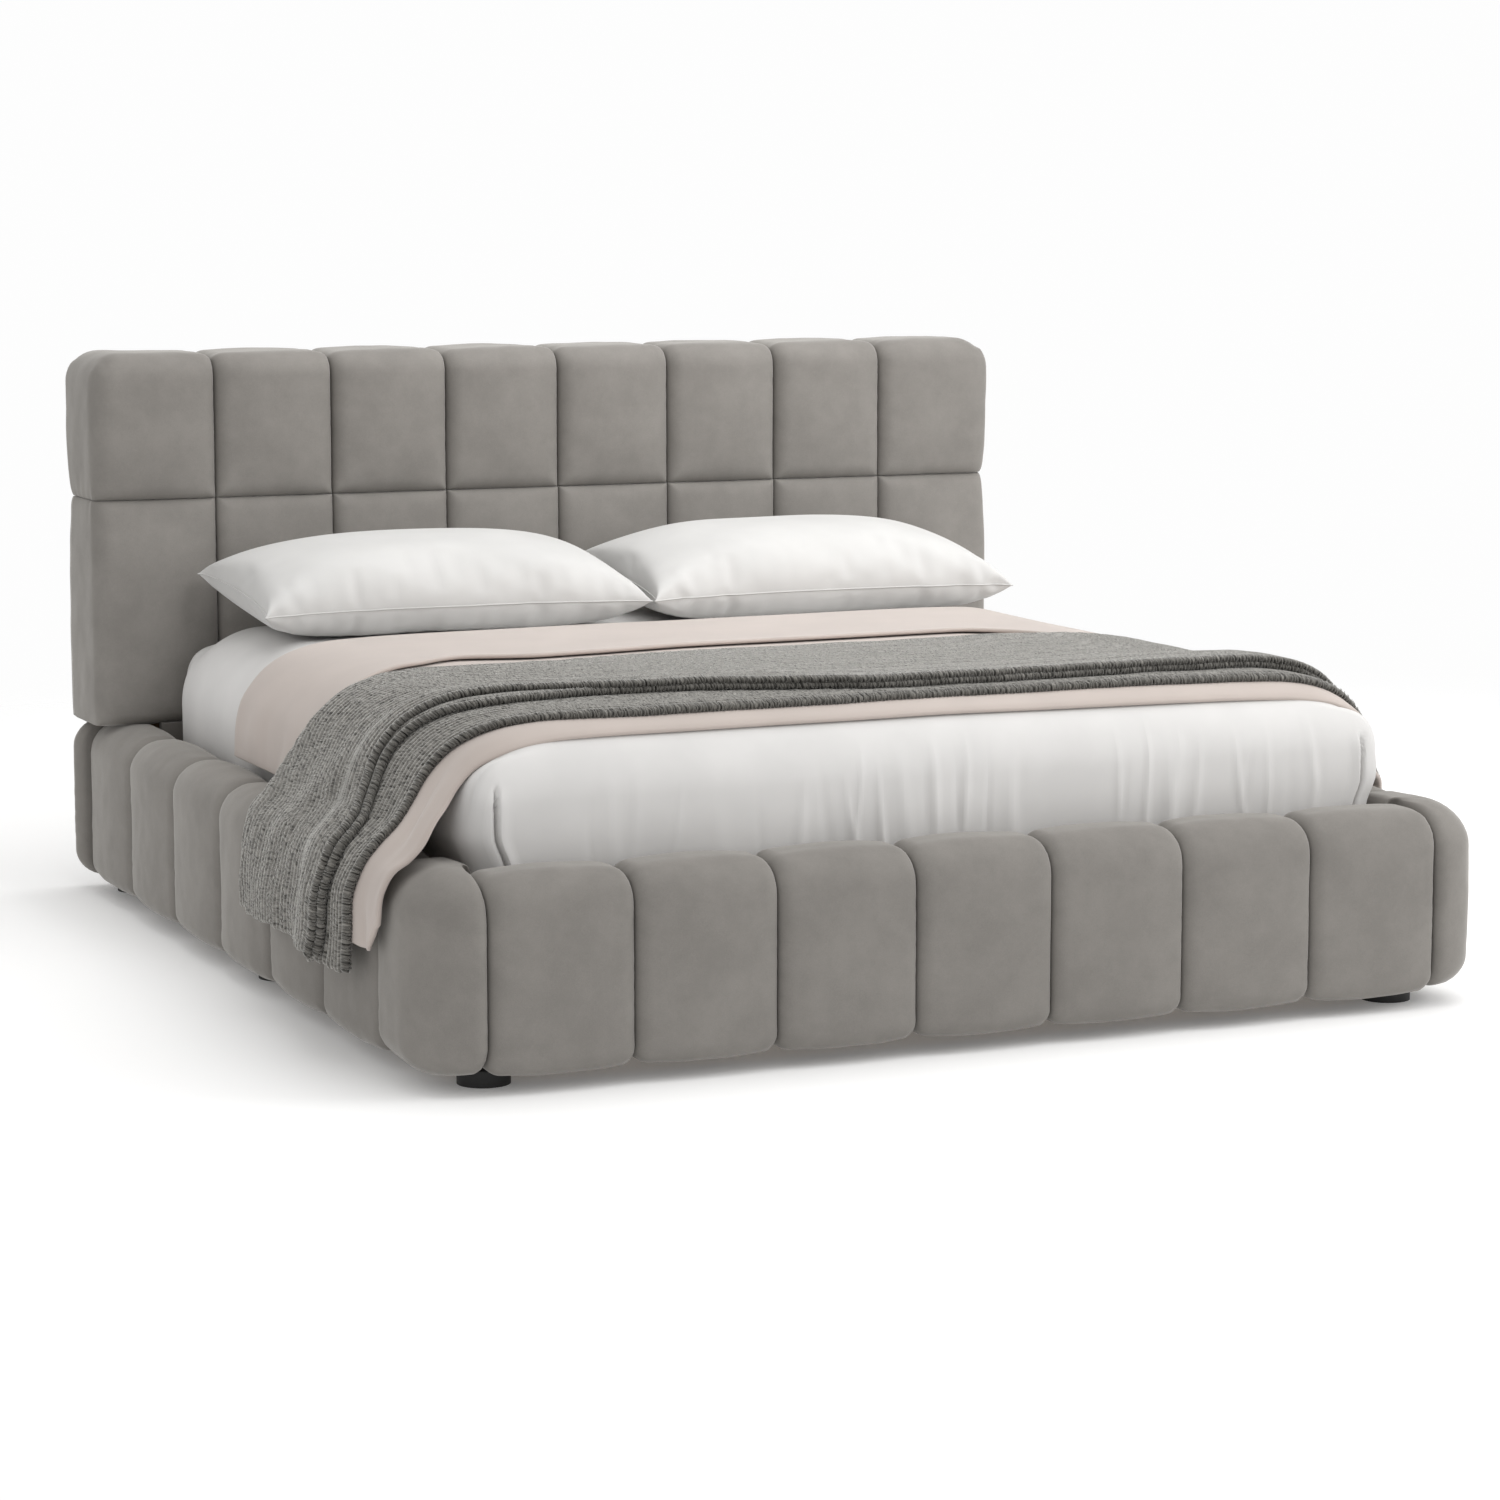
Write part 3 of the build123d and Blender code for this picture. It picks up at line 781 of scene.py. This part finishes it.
pillowLook = {
    "cells": 64,
    "above": 0.128,       # fullness over the seam
    "below": 0.104,       # and under it
    "tilt": 6,
    "frames": 14,
    "seam": 0.0022,
    "wrinkle": 0.0046,
    "sink": 0.028,        # how far it settles into what it lies on
    "soft": 0.009,        # and how gently its underside flattens
    "wider": 0.036,
    "deeper": 0.024,
}
pillowCloth = {
    "uniform_pressure_force": 1.1,
    "mass": 0.3,
    "tension_stiffness": 15,
    "compression_stiffness": 15,
    "shear_stiffness": 5,
    "bending_stiffness": 0.4,
    "air_damping": 4,
}


def makePillow(name, node, seed):
    low, high = (list(v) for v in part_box(node))
    width, depth = high[0] - low[0] + pillowLook["wider"], high[1] - low[1] + pillowLook["deeper"]
    nx = pillowLook["cells"]
    ny = round(nx * depth / width)
    points, faces, index = [], [], {}
    for layer in (0, 1):
        for i in range(nx + 1):
            for j in range(ny + 1):
                rim = i in (0, nx) or j in (0, ny)
                if rim and layer:
                    index[(1, i, j)] = index[(0, i, j)]
                    continue
                u = math.sin(math.pi / 2 * (2 * i / nx - 1) * 0.9) / math.sin(math.pi / 2 * 0.9)
                v = math.sin(math.pi / 2 * (2 * j / ny - 1) * 0.9) / math.sin(math.pi / 2 * 0.9)
                full = pillowLook["above"] if layer == 0 else -pillowLook["below"]
                swell = max(0, 1 - abs(u) ** 3.2) ** 0.62 * max(0, 1 - abs(v) ** 3.2) ** 0.62
                index[(layer, i, j)] = len(points)
                narrow, shallow = 1 - 0.035 * (1 - v * v), 1 - 0.05 * (1 - u * u)
                points.append((width / 2 * u * narrow, depth / 2 * v * shallow, full * swell))
    for layer in (0, 1):
        for i in range(nx):
            for j in range(ny):
                ring = [index[(layer, i + a, j + b)] for a, b in ((0, 0), (1, 0), (1, 1), (0, 1))]
                faces.append(ring if layer == 0 else ring[::-1])
    points = np.array(points)
    u, v = 2 * points[:, 0] / width, 2 * points[:, 1] / depth
    # slack gathered off the seam all round, longest at the front
    wrinkle = np.zeros(len(points))
    for k in range(26):
        at = -0.9 + 1.8 * ((k * 0.6180339 + seed * 0.37) % 1)
        reach = 0.25 + 0.5 * ((k * 0.7548777 + seed * 0.2) % 1)
        lean = 0.12 * (((k * 0.5698403 + seed) % 1) - 0.5)
        narrow = 0.012 + 0.02 * ((k * 0.324718 + seed) % 1)
        fading = smoothStep(-1 + reach, -1 + reach * 0.3, v)
        wrinkle += bell(u + lean * (1 + v), at, narrow) * fading * (1 if k % 2 else -0.8)
    offSeam = smoothStep(0, 0.02, np.abs(points[:, 2]))
    points[:, 2] += np.sign(points[:, 2]) * pillowLook["wrinkle"] * wrinkle * offSeam
    points[:, 2] += 0.005 * softNoise(points, 4.5, seed) * smoothStep(0.0, 0.08, points[:, 2])
    pillow = meshPiece(name, points, faces, pillowCotton, node, "pillow_case")
    pillow.parent = None
    cloth = pillow.modifiers.new("cloth", "CLOTH")
    cloth.settings.use_pressure = True
    cloth.settings.effector_weights.gravity = 0
    for setting, value in pillowCloth.items():
        setattr(cloth.settings, setting, value)
    scene = bpy.context.scene
    for frameNumber in range(1, pillowLook["frames"] + 1):
        scene.frame_set(frameNumber)
    applyModifiers(pillow)
    scene.frame_set(1)
    shaped = readPoints(pillow)
    reach = shaped.max(0) - shaped.min(0)
    shaped[:, :2] -= (shaped.max(0)[:2] + shaped.min(0)[:2]) / 2
    shaped[:, 0] *= width / reach[0]
    shaped[:, 1] *= depth / reach[1]
    shaped[:, 2] *= (pillowLook["above"] + pillowLook["below"]) / reach[2]
    shaped[:, 2] -= shaped[:, 2].min()
    tilt = math.radians(pillowLook["tilt"])
    y, z = shaped[:, 1].copy(), shaped[:, 2].copy()
    shaped[:, 1] = y * math.cos(tilt) - z * math.sin(tilt) + (low[1] + high[1]) / 2 + 0.002
    shaped[:, 2] = y * math.sin(tilt) + z * math.cos(tilt)
    shaped[:, 0] += (low[0] + high[0]) / 2
    # it sinks a little where it lies on the mattress
    rest = mattressHigh[2] + 0.002
    shaped[:, 2] += rest - shaped[:, 2].min() - pillowLook["sink"]
    soft = pillowLook["soft"]
    shaped[:, 2] = rest + soft * np.logaddexp(0, (shaped[:, 2] - rest) / soft)
    shaped[:, 2] -= shaped[:, 2].min() - rest
    writePoints(pillow, shaped)
    smooth = pillow.modifiers.new("smooth", "SUBSURF")
    smooth.levels = 1
    applyModifiers(pillow)
    for polygon in pillow.data.polygons:
        polygon.use_smooth = True
    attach(pillow, node)
    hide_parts(node)
    piping(f"{name}Seam", shaped, index, nx, ny, node)


def piping(name, shaped, index, nx, ny, body):
    # the sewn edge where the two panels meet
    ring = [index[(0, i, 0)] for i in range(nx)] + [index[(0, nx, j)] for j in range(ny)]
    ring += [index[(0, i, ny)] for i in range(nx, 0, -1)] + [index[(0, 0, j)] for j in range(ny, 0, -1)]
    line = shaped[ring]
    line = (np.roll(line, 1, 0) + 2 * line + np.roll(line, -1, 0)) / 4
    ahead = np.roll(line, -1, 0) - np.roll(line, 1, 0)
    ahead /= np.linalg.norm(ahead, axis=1, keepdims=True)
    level = np.cross(ahead, (0, 0, 1))
    upward = np.cross(level, ahead)
    sides = 8
    points, faces = [], []
    for k in range(len(line)):
        for q in range(sides):
            turn = 2 * math.pi * q / sides
            spot = line[k] + pillowLook["seam"] * (math.cos(turn) * level[k] + math.sin(turn) * upward[k] * 0.7)
            points.append(spot)
    for k in range(len(line)):
        for q in range(sides):
            a, b = k * sides + q, k * sides + (q + 1) % sides
            c, d = (k + 1) % len(line) * sides + (q + 1) % sides, (k + 1) % len(line) * sides + q
            faces.append((a, d, c, b))
    meshPiece(name, points, faces, pillowCotton, body, "pillow_case")


makePillow("pillowLeft", "pillow_left", 2)
makePillow("pillowRight", "pillow_right", 8)
print("pillows done")


# Draped cloth: a section line laid over mattress and rail, swept along the bed

def throughPoints(knots, count):
    knots = np.array(knots, float)
    padded = np.vstack([2 * knots[0] - knots[1], knots, 2 * knots[-1] - knots[-2]])
    fine = []
    for k in range(1, len(padded) - 2):
        a, b, c, d = padded[k - 1 : k + 3]
        for t in np.linspace(0, 1, 24, endpoint=False):
            fine.append(
                0.5 * (2 * b + (c - a) * t + (2 * a - 5 * b + 4 * c - d) * t * t + (3 * b - a - 3 * c + d) * t**3)
            )
    fine.append(knots[-1])
    fine = np.array(fine)
    along = lengthAlong(fine)
    at = np.linspace(0, along[-1], count)
    return np.stack([np.interp(at, along, fine[:, i]) for i in range(2)], axis=1)


clothTop = mattressHigh[2]
hungLine = [
    (0.0, 0.0), (0.3, 0.0), (0.6, -0.001), (0.72, -0.003), (0.8, -0.007), (0.87, -0.02),
    (0.925, -0.047), (0.97, -0.092), (1.01, -0.145), (1.048, -0.193), (1.085, -0.225),
    (1.116, -0.255), (1.133, -0.305), (1.138, -0.36),
]
tuckedLine = [
    (0.0, 0.0), (0.3, 0.0), (0.6, -0.001), (0.72, -0.003), (0.8, -0.008), (0.87, -0.026),
    (0.92, -0.056), (0.955, -0.1), (0.967, -0.135), (0.972, -0.165), (0.975, -0.19),
    (0.976, -0.205), (0.977, -0.215), (0.978, -0.222),
]


def footDrop(x, y):
    # how far the mattress has rounded down here
    radius = mattressLook["endRound"]
    past = np.clip(mattressLow[1] + radius - y, 0, radius * 0.95)
    return (radius - np.sqrt(radius**2 - past**2)) * smoothStep(1.03, 0.9, np.abs(x))


def drapeRow(shape, hem, distance, count):
    # half a section; shape 1 hangs over the rail, 0 is tucked in
    knots = []
    for (xa, za), (xb, zb) in zip(tuckedLine, hungLine):
        knots.append((xa + (xb - xa) * shape, clothTop + za + (zb - za) * shape))
    if shape > 0.98:
        knots[-1] = (knots[-1][0] + 0.001, (knots[-2][1] + hem) / 2)
        knots.append((knots[-1][0] + 0.001, hem))
    line = throughPoints(knots, count)
    step = np.gradient(line, axis=0)
    normal = np.stack([-step[:, 1], step[:, 0]], axis=1)
    normal /= np.linalg.norm(normal, axis=1, keepdims=True)
    return line + normal * np.asarray(distance).reshape(-1, 1)


def drapeSheet(shapeOf, hem, distanceOf, yOf, half, across):
    # rows of points from one hem over the bed to the other
    grid = np.zeros((2 * half - 1, across, 3))
    for j in range(across):
        v = j / (across - 1)
        for sign in (-1, 1):
            share = np.linspace(0, 1, half)
            yHere = yOf(sign * share, v)
            row = drapeRow(shapeOf(v, sign), hem, distanceOf(sign * share, v), half)
            for i in range(half):
                at = half - 1 + sign * i
                grid[at, j] = (sign * row[i, 0], yHere[i], row[i, 1] - footDrop(row[i, 0], yHere[i]))
    return grid


def gridNoise(grid, scale, seed):
    return softNoise(grid.reshape(-1, 3), scale, seed).reshape(grid.shape[:2])


def gridNormals(grid):
    du = np.gradient(grid, axis=0)
    dv = np.gradient(grid, axis=1)
    normal = np.cross(du, dv)
    normal /= np.maximum(np.linalg.norm(normal, axis=2, keepdims=True), 1e-9)
    return -normal if normal[grid.shape[0] // 2, grid.shape[1] // 2, 2] < 0 else normal


def clothSlab(name, grid, thickness, finish, body, slot, rimSteps=3):
    # a closed sheet with round rims; its UV map is twice the size in metres
    nu, nv = grid.shape[:2]
    normal = gridNormals(grid)
    half = thickness / 2
    border = [(i, 0) for i in range(nu)] + [(nu - 1, j) for j in range(1, nv)]
    border += [(i, nv - 1) for i in range(nu - 2, -1, -1)] + [(0, j) for j in range(nv - 2, 0, -1)]
    points = list((grid + normal * half).reshape(-1, 3)) + list((grid - normal * half).reshape(-1, 3))
    lengthU = np.concatenate([np.zeros((1, nv)), np.cumsum(np.linalg.norm(np.diff(grid, axis=0), axis=2), axis=0)])
    lengthV = np.concatenate(
        [np.zeros((nu, 1)), np.cumsum(np.linalg.norm(np.diff(grid, axis=1), axis=2), axis=1)], axis=1
    )
    uv = list(np.stack([lengthU, lengthV], axis=2).reshape(-1, 2)) * 2
    faces = []
    base = nu * nv
    for i in range(nu - 1):
        for j in range(nv - 1):
            a, b, c, d = i * nv + j, (i + 1) * nv + j, (i + 1) * nv + j + 1, i * nv + j + 1
            faces.append((a, b, c, d))
            faces.append((base + d, base + c, base + b, base + a))
    rings = []
    for i, j in border:
        inI, inJ = min(max(i, 1), nu - 2), min(max(j, 1), nv - 2)
        out = grid[i, j] - grid[inI, inJ]
        out -= normal[i, j] * np.dot(out, normal[i, j])
        out /= max(np.linalg.norm(out), 1e-9)
        ring = [i * nv + j]
        for k in range(1, rimSteps):
            angle = math.pi * k / rimSteps
            ring.append(len(points))
            points.append(grid[i, j] + normal[i, j] * half * math.cos(angle) + out * half * math.sin(angle))
            uv.append(uv[i * nv + j])
        ring.append(base + i * nv + j)
        rings.append(ring)
    for k, ring in enumerate(rings):
        following = rings[(k + 1) % len(rings)]
        for a, b, c, d in zip(ring, ring[1:], following[1:], following):
            faces.append((a, b, c, d))
    piece = meshPiece(name, points, faces, finish, body, slot)
    form = bmesh.new()
    form.from_mesh(piece.data)
    bmesh.ops.recalc_face_normals(form, faces=form.faces)
    form.to_mesh(piece.data)
    form.free()
    layer = piece.data.uv_layers.new(name="cloth")
    corners = np.zeros(len(piece.data.loops), int)
    piece.data.loops.foreach_get("vertex_index", corners)
    layer.data.foreach_set("uv", np.array(uv)[corners].astype(np.float32).ravel())
    return piece


# Edges of the throw across the bed, as (share of the way from the middle to a hem, y); -1 is the left hem
upperHead = [
    (-1, -0.217), (-0.91, -0.25), (-0.81, -0.2), (-0.72, -0.155), (-0.65, -0.18), (-0.57, -0.19),
    (-0.44, -0.225), (-0.29, -0.205), (-0.13, -0.175), (0.2, -0.164), (0.5, -0.15), (0.58, -0.22),
    (0.7, -0.34), (0.85, -0.42), (1, -0.46),
]
upperFoot = [
    (-1, -0.775), (-0.94, -0.79), (-0.88, -0.815), (-0.84, -0.79), (-0.8, -0.74), (-0.72, -0.65),
    (-0.68, -0.65), (-0.64, -0.68), (-0.57, -0.715), (-0.5, -0.75), (-0.43, -0.775), (-0.31, -0.79),
    (-0.2, -0.835), (-0.07, -0.9), (0.09, -0.905), (0.25, -0.9), (0.37, -0.885), (0.53, -0.87),
    (0.65, -0.87), (0.72, -0.84), (0.8, -0.74), (1, -0.64),
]
lowerFoot = [
    (-1, -0.895), (-0.94, -0.908), (-0.84, -0.93), (-0.78, -0.905), (-0.73, -0.875), (-0.69, -0.865),
    (-0.64, -0.905), (-0.58, -0.935), (-0.5, -0.955), (-0.42, -0.962), (0, -0.955), (0.44, -0.955),
    (0.65, -0.96), (0.71, -0.94), (0.75, -0.9), (0.83, -0.8), (1, -0.7),
]
hangLook = {"fold": 0.018, "seed": 5}


def sideFolds(grid):
    # all layers share these folds
    amount, seed = hangLook["fold"], hangLook["seed"]
    flat = grid.reshape(-1, 3)
    down = smoothStep(clothTop - 0.02, clothTop - 0.2, flat[:, 2])
    wave = softNoise(flat * np.array([0.6, 1, 0.5]), 5.5, seed) + 0.5 * softNoise(flat, 11, seed + 3)
    outward = np.sign(flat[:, 0])[:, None] * np.array([1, 0, 0]) * 0.8 + np.array([0, 0, 0.3])
    moved = flat + outward * (np.clip(wave + 0.25, 0, 1) * down * amount)[:, None]
    return moved.reshape(grid.shape)


def edgeAt(edge, u):
    knots = np.array(edge)
    fine = np.linspace(-1, 1, 401)
    line = np.interp(fine, knots[:, 0], knots[:, 1])
    window = np.hanning(21)
    line = np.convolve(np.pad(line, 10, mode="edge"), window / window.sum(), mode="valid")
    return np.interp(u, fine, line)


blanketLook = {
    "thickness": 0.009,
    "hem": 0.245,
    "head": 0.4,
    "turnBack": 0.04,     # from the throw to the turned-down part, at the sides
    "turnOnTop": 0.1,     # and how much more on the flat of the bed
    "lift": 0.0075,
    "dent": 0.008,        # soft dents along the hanging front edge
    "hemRound": 0.055,
}
blanketFoot = [
    (-1, -1.055), (-0.92, -1.06), (-0.88, -1.068), (-0.835, -1.068), (-0.75, -1.015), (-0.71, -0.995),
    (-0.66, -1.005), (-0.6, -1.005), (0, -1.002), (0.62, -1.01), (0.7, -1.0), (0.76, -0.95),
    (0.82, -0.87), (0.9, -0.8), (1, -0.76),
]


def blanketShape(v, sign):
    y = blanketFoot[0][1] + (blanketLook["head"] - blanketFoot[0][1]) * v
    return float(smoothStep(-0.22, -0.5, y))


def blanketY(u, v):
    foot = edgeAt(blanketFoot, u)
    head = blanketLook["head"] + 0.04 * u
    return foot + (head - foot) * v


def makeBlanket():
    lift = blanketLook["lift"]
    grid = drapeSheet(
        blanketShape, blanketLook["hem"], lambda u, v: np.full(len(u), lift), blanketY, 110, 120
    )
    grid[..., 2] += 0.0015 * gridNoise(grid, 4, 3)
    grid = sideFolds(grid)
    # the front edge hangs in soft dents and its hem corners are round
    rows = np.abs(np.linspace(-1, 1, len(grid)))[:, None]
    behind = grid[..., 1] - grid[:, :1, 1]
    dents = bell(behind, 0.04, 0.02) - 0.8 * bell(behind, 0.083, 0.017) + 0.5 * bell(behind, 0.008, 0.01)
    dents *= 0.6 + 0.4 * np.sin(rows * 31 + behind * 25)
    grid[..., 0] += np.sign(grid[..., 0]) * blanketLook["dent"] * dents * smoothStep(0.6, 0.75, rows)
    rounded = smoothStep(0.075, 0.0, behind) ** 2 * smoothStep(0.86, 1.0, rows)
    grid[..., 2] += blanketLook["hemRound"] * rounded
    blanket = clothSlab("blanketLayer", grid, blanketLook["thickness"], beigeSateen, "mattress", "beige_satin")
    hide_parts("blanket")
    upper = blanketLook["thickness"] + lift + 0.0012

    def turnY(u, v):
        shown = blanketLook["turnBack"] + blanketLook["turnOnTop"] * smoothStep(0.74, 0.56, np.abs(u))
        edge = edgeAt(upperHead, u) + shown
        return edge + (blanketY(u, 1.0) + 0.004 - edge) * v

    grid = drapeSheet(
        lambda v, sign: 0.0,
        blanketLook["hem"],
        lambda u, v: np.full(len(u), upper + 0.003 * math.exp(-v * 14)),
        turnY,
        90,
        48,
    )
    grid[..., 2] += 0.0015 * gridNoise(grid, 4, 3)
    grid = sideFolds(grid)
    turned = clothSlab("blanketTurnDown", grid, blanketLook["thickness"], beigeSateen, "mattress", "beige_satin", 5)


makeBlanket()
print("blanket done")


# Knitted throw, folded double: a wide upper layer, a narrow fold and the lower layer under it

throwLook = {
    "thickness": 0.011,
    "hem": 0.192,
    "rib": 0.018,         # width of one knitted rib
    "ribHeight": 0.0016,
    "strip": 0.056,       # the narrow fold beside the upper layer, widest over the left shoulder
    "wobble": 0.004,      # how unevenly its edges run
    "stitch": 0.0076,     # spacing of the blanket stitches round the edges
    "yarn": 0.0017,
}


def ribbed(grid, amount):
    normal = gridNormals(grid)
    across = np.cumsum(np.linalg.norm(np.diff(grid, axis=1, prepend=grid[:, :1]), axis=2), axis=1)
    wave = np.abs(np.sin(math.pi * across / throwLook["rib"])) ** 0.7 - 0.5
    return grid + normal * (wave * amount)[..., None]


def edgeStitches(name, grid):
    # short loops of yarn that wrap the foot edge of a layer
    edge, up = grid[:, 0], gridNormals(grid)[:, 0]
    inward = grid[:, 2] - edge
    inward /= np.maximum(np.linalg.norm(inward, axis=1, keepdims=True), 1e-9)
    along = lengthAlong(edge)
    points, faces = [], []
    half = throwLook["thickness"] / 2 + throwLook["yarn"] * 0.4
    count = int(along[-1] / throwLook["stitch"])
    steps, sides = 7, 5
    for k in range(count):
        at = (k + 0.5) * throwLook["stitch"]
        centre, back, top = (
            np.array([np.interp(at, along, line[:, i]) for i in range(3)]) for line in (edge, inward, up)
        )
        run = np.cross(top, back)
        lean = 0.0035 * math.sin(k * 2.4)
        ring = []
        for s in range(steps):
            angle = math.pi * s / (steps - 1)
            reach = 0.011 if s in (0, steps - 1) else 0.0
            spot = centre + top * half * math.cos(angle) - back * half * 1.1 * math.sin(angle)
            ring.append(spot + back * reach + run * lean * math.cos(angle))
        ring = np.array(ring)
        tangent = np.gradient(ring, axis=0)
        start = len(points)
        for s in range(steps):
            t = tangent[s] / max(np.linalg.norm(tangent[s]), 1e-9)
            outer = np.cross(t, run)
            radius = throwLook["yarn"] * (0.45 if s in (0, steps - 1) else 1)
            for q in range(sides):
                turn = 2 * math.pi * q / sides
                points.append(ring[s] + radius * (math.cos(turn) * run + math.sin(turn) * outer))
        for s in range(steps - 1):
            for q in range(sides):
                a, b = start + s * sides + q, start + s * sides + (q + 1) % sides
                faces.append((a, b, b + sides, a + sides))
        faces.append(tuple(start + q for q in range(sides))[::-1])
        faces.append(tuple(start + (steps - 1) * sides + q for q in range(sides)))
    return meshPiece(name, points, faces, greyKnit, "mattress", "grey_knit")


def throwLayer(name, headOf, footOf, distanceOf, across, hem, seed):
    def rowY(u, v):
        drift = softNoise(np.stack([u * 6, 0 * u, 0 * u], axis=1), 1, seed) * throwLook["wobble"]
        drift += softNoise(np.stack([u * 25, 0 * u, 0 * u], axis=1), 1, seed + 4) * throwLook["wobble"] * 0.5
        return footOf(u) + (headOf(u) - footOf(u)) * v + drift * (1 - v)

    grid = drapeSheet(lambda v, sign: 1.0, hem, distanceOf, rowY, 250, across)
    atHem = smoothStep(0.93, 1.0, np.abs(np.linspace(-1, 1, len(grid))))[:, None]
    scallop = gridNoise(grid * np.array([0, 1, 0]), 26, seed)
    grid[..., 2] += 0.012 * scallop * atHem
    grid = sideFolds(grid)
    grid[..., 2] += 0.0018 * gridNoise(grid, 9, 12)
    ribs = ribbed(grid, throwLook["ribHeight"] * 2)
    layer = clothSlab(name, ribs, throwLook["thickness"], greyKnit, "mattress", "grey_knit")
    return layer, [edgeStitches(f"{name}Stitches", ribs)]


def makeThrow():
    thick = throwLook["thickness"]
    onBlanket = blanketLook["lift"] + blanketLook["thickness"] / 2 + 0.002 + thick / 2

    def stripWidth(u):
        return throwLook["strip"] * bell(u, -0.585, 0.085) + 0.014 * smoothStep(-0.35, -0.6, u) + 0.003

    lower, trim = throwLayer(
        "throwLowerLayer",
        lambda u: edgeAt(upperFoot, u) + 0.07,
        lambda u: edgeAt(lowerFoot, u),
        lambda u, v: np.full(len(u), onBlanket),
        80, throwLook["hem"] - 0.01, 12,
    )
    strip, trim = throwLayer(
        "throwFold",
        lambda u: edgeAt(upperFoot, u) + 0.045,
        lambda u: edgeAt(upperFoot, u) - stripWidth(u),
        lambda u, v: onBlanket + (thick + 0.001) + 0.003 * smoothStep(0.6, 0.3, v) + np.zeros(len(u)),
        26, throwLook["hem"] + 0.012, 13,
    )
    upper, trim = throwLayer(
        "throwUpperLayer",
        lambda u: edgeAt(upperHead, u),
        lambda u: edgeAt(upperFoot, u),
        lambda u, v: onBlanket + (2 * thick + 0.004) * smoothStep(0.36, 0.12, v) + 0 * u,
        110, throwLook["hem"] + 0.006, 14,
    )
    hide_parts("throw")


makeThrow()
print("throw done")


# Studio: pale floor, soft lights and the camera

def addLight(name, spot, target, size, power, spread=180):
    data = bpy.data.lights.new(name, "AREA")
    data.shape = "RECTANGLE"
    data.size, data.size_y = size
    data.energy = power
    data.spread = math.radians(spread)
    lamp = addObject(name, data)
    lamp.location = spot
    lamp.rotation_euler = (Vector(target) - Vector(spot)).to_track_quat("-Z", "Y").to_euler()


studioLook = {
    "backdrop": 0.985,    # what shows behind the bed
    "ambient": 0.72,      # and how much of it lights the bed
    "floor": 0.95,
    "floorGlow": 0.1,
    "floorNear": 2.4,     # the floor fades into the backdrop between these distances
    "floorFar": 5.5,
}


lights = {    # place, what it points at, size, power and spread
    "overhead": ((1.2, -0.1, 4.6), (0.2, 0, 0.3), (6.5, 6.5), 165),
    "fromRight": ((5.0, -3.2, 2.9), (0.4, -0.4, 0.5), (2.6, 2.6), 95),
    "towardsHead": ((1.0, -3.2, 3.3), (0.3, 1.0, 0.9), (1.8, 1.2), 6, 46),
}


def studio():
    finish, tree, shader = newFinish("paleFloor", 0.9)
    where = place(tree)
    pale = studioLook["floor"]
    shades = [(0.3, grey(pale)), (0.7, grey(pale + 0.02))]
    tree.links.new(ramp(tree, grain(tree, where, 0.8), shades), shader.inputs["Base Color"])
    setInputs(shader, {"Specular IOR Level": 0.1, "Emission Color": (1, 1, 1, 1)})
    setInputs(shader, {"Emission Strength": studioLook["floorGlow"]})
    far = tree.nodes.new("ShaderNodeVectorMath")
    far.operation = "LENGTH"
    tree.links.new(where, far.inputs[0])
    fade = tree.nodes.new("ShaderNodeMapRange")
    fade.interpolation_type = "SMOOTHSTEP"
    setInputs(fade, {"From Min": studioLook["floorNear"], "From Max": studioLook["floorFar"]})
    tree.links.new(far.outputs["Value"], fade.inputs["Value"])
    clear = tree.nodes.new("ShaderNodeBsdfTransparent")
    blend = tree.nodes.new("ShaderNodeMixShader")
    tree.links.new(fade.outputs["Result"], blend.inputs["Fac"])
    tree.links.new(shader.outputs["BSDF"], blend.inputs[1])
    tree.links.new(clear.outputs["BSDF"], blend.inputs[2])
    tree.links.new(blend.outputs["Shader"], tree.nodes["Material Output"].inputs["Surface"])
    size = studioLook["floorFar"] + 1.5
    corners = [(-size, -size, 0), (size, -size, 0), (size, size, 0), (-size, size, 0)]
    mesh = bpy.data.meshes.new("floor")
    mesh.from_pydata(corners, [], [(0, 1, 2, 3)])
    mesh.materials.append(finish)
    addObject("floor", mesh)
    world = bpy.data.worlds.new("studio")
    world.use_nodes = True
    tree = world.node_tree
    seen = tree.nodes["Background"]
    setInputs(seen, {"Color": (1, 1, 1, 1), "Strength": studioLook["backdrop"]})
    soft = tree.nodes.new("ShaderNodeBackground")
    setInputs(soft, {"Color": (1, 0.995, 0.985, 1), "Strength": studioLook["ambient"]})
    path = tree.nodes.new("ShaderNodeLightPath")
    choose = tree.nodes.new("ShaderNodeMixShader")
    tree.links.new(path.outputs["Is Camera Ray"], choose.inputs["Fac"])
    tree.links.new(soft.outputs["Background"], choose.inputs[1])
    tree.links.new(seen.outputs["Background"], choose.inputs[2])
    tree.links.new(choose.outputs["Shader"], tree.nodes["World Output"].inputs["Surface"])
    bpy.context.scene.world = world
    for name, light in lights.items():
        addLight(name, *light)
    bpy.context.scene.view_settings.view_transform = "Standard"


studio()

cameraLook = {
    "place": (-3.438, -8.015, 1.660),
    "azimuth": -23.48,
    "elevation": 8.108,
    "lens": 98.07,
}


def addCamera():
    data = bpy.data.cameras.new("camera")
    data.sensor_width = 36
    data.lens = cameraLook["lens"]
    data.clip_end = 200
    camera = addObject("camera", data)
    camera.location = cameraLook["place"]
    az, el = math.radians(cameraLook["azimuth"]), math.radians(cameraLook["elevation"])
    back = Vector((math.sin(az) * math.cos(el), -math.cos(az) * math.cos(el), math.sin(el)))
    camera.rotation_euler = (-back).to_track_quat("-Z", "Y").to_euler()
    bpy.context.scene.camera = camera


addCamera()
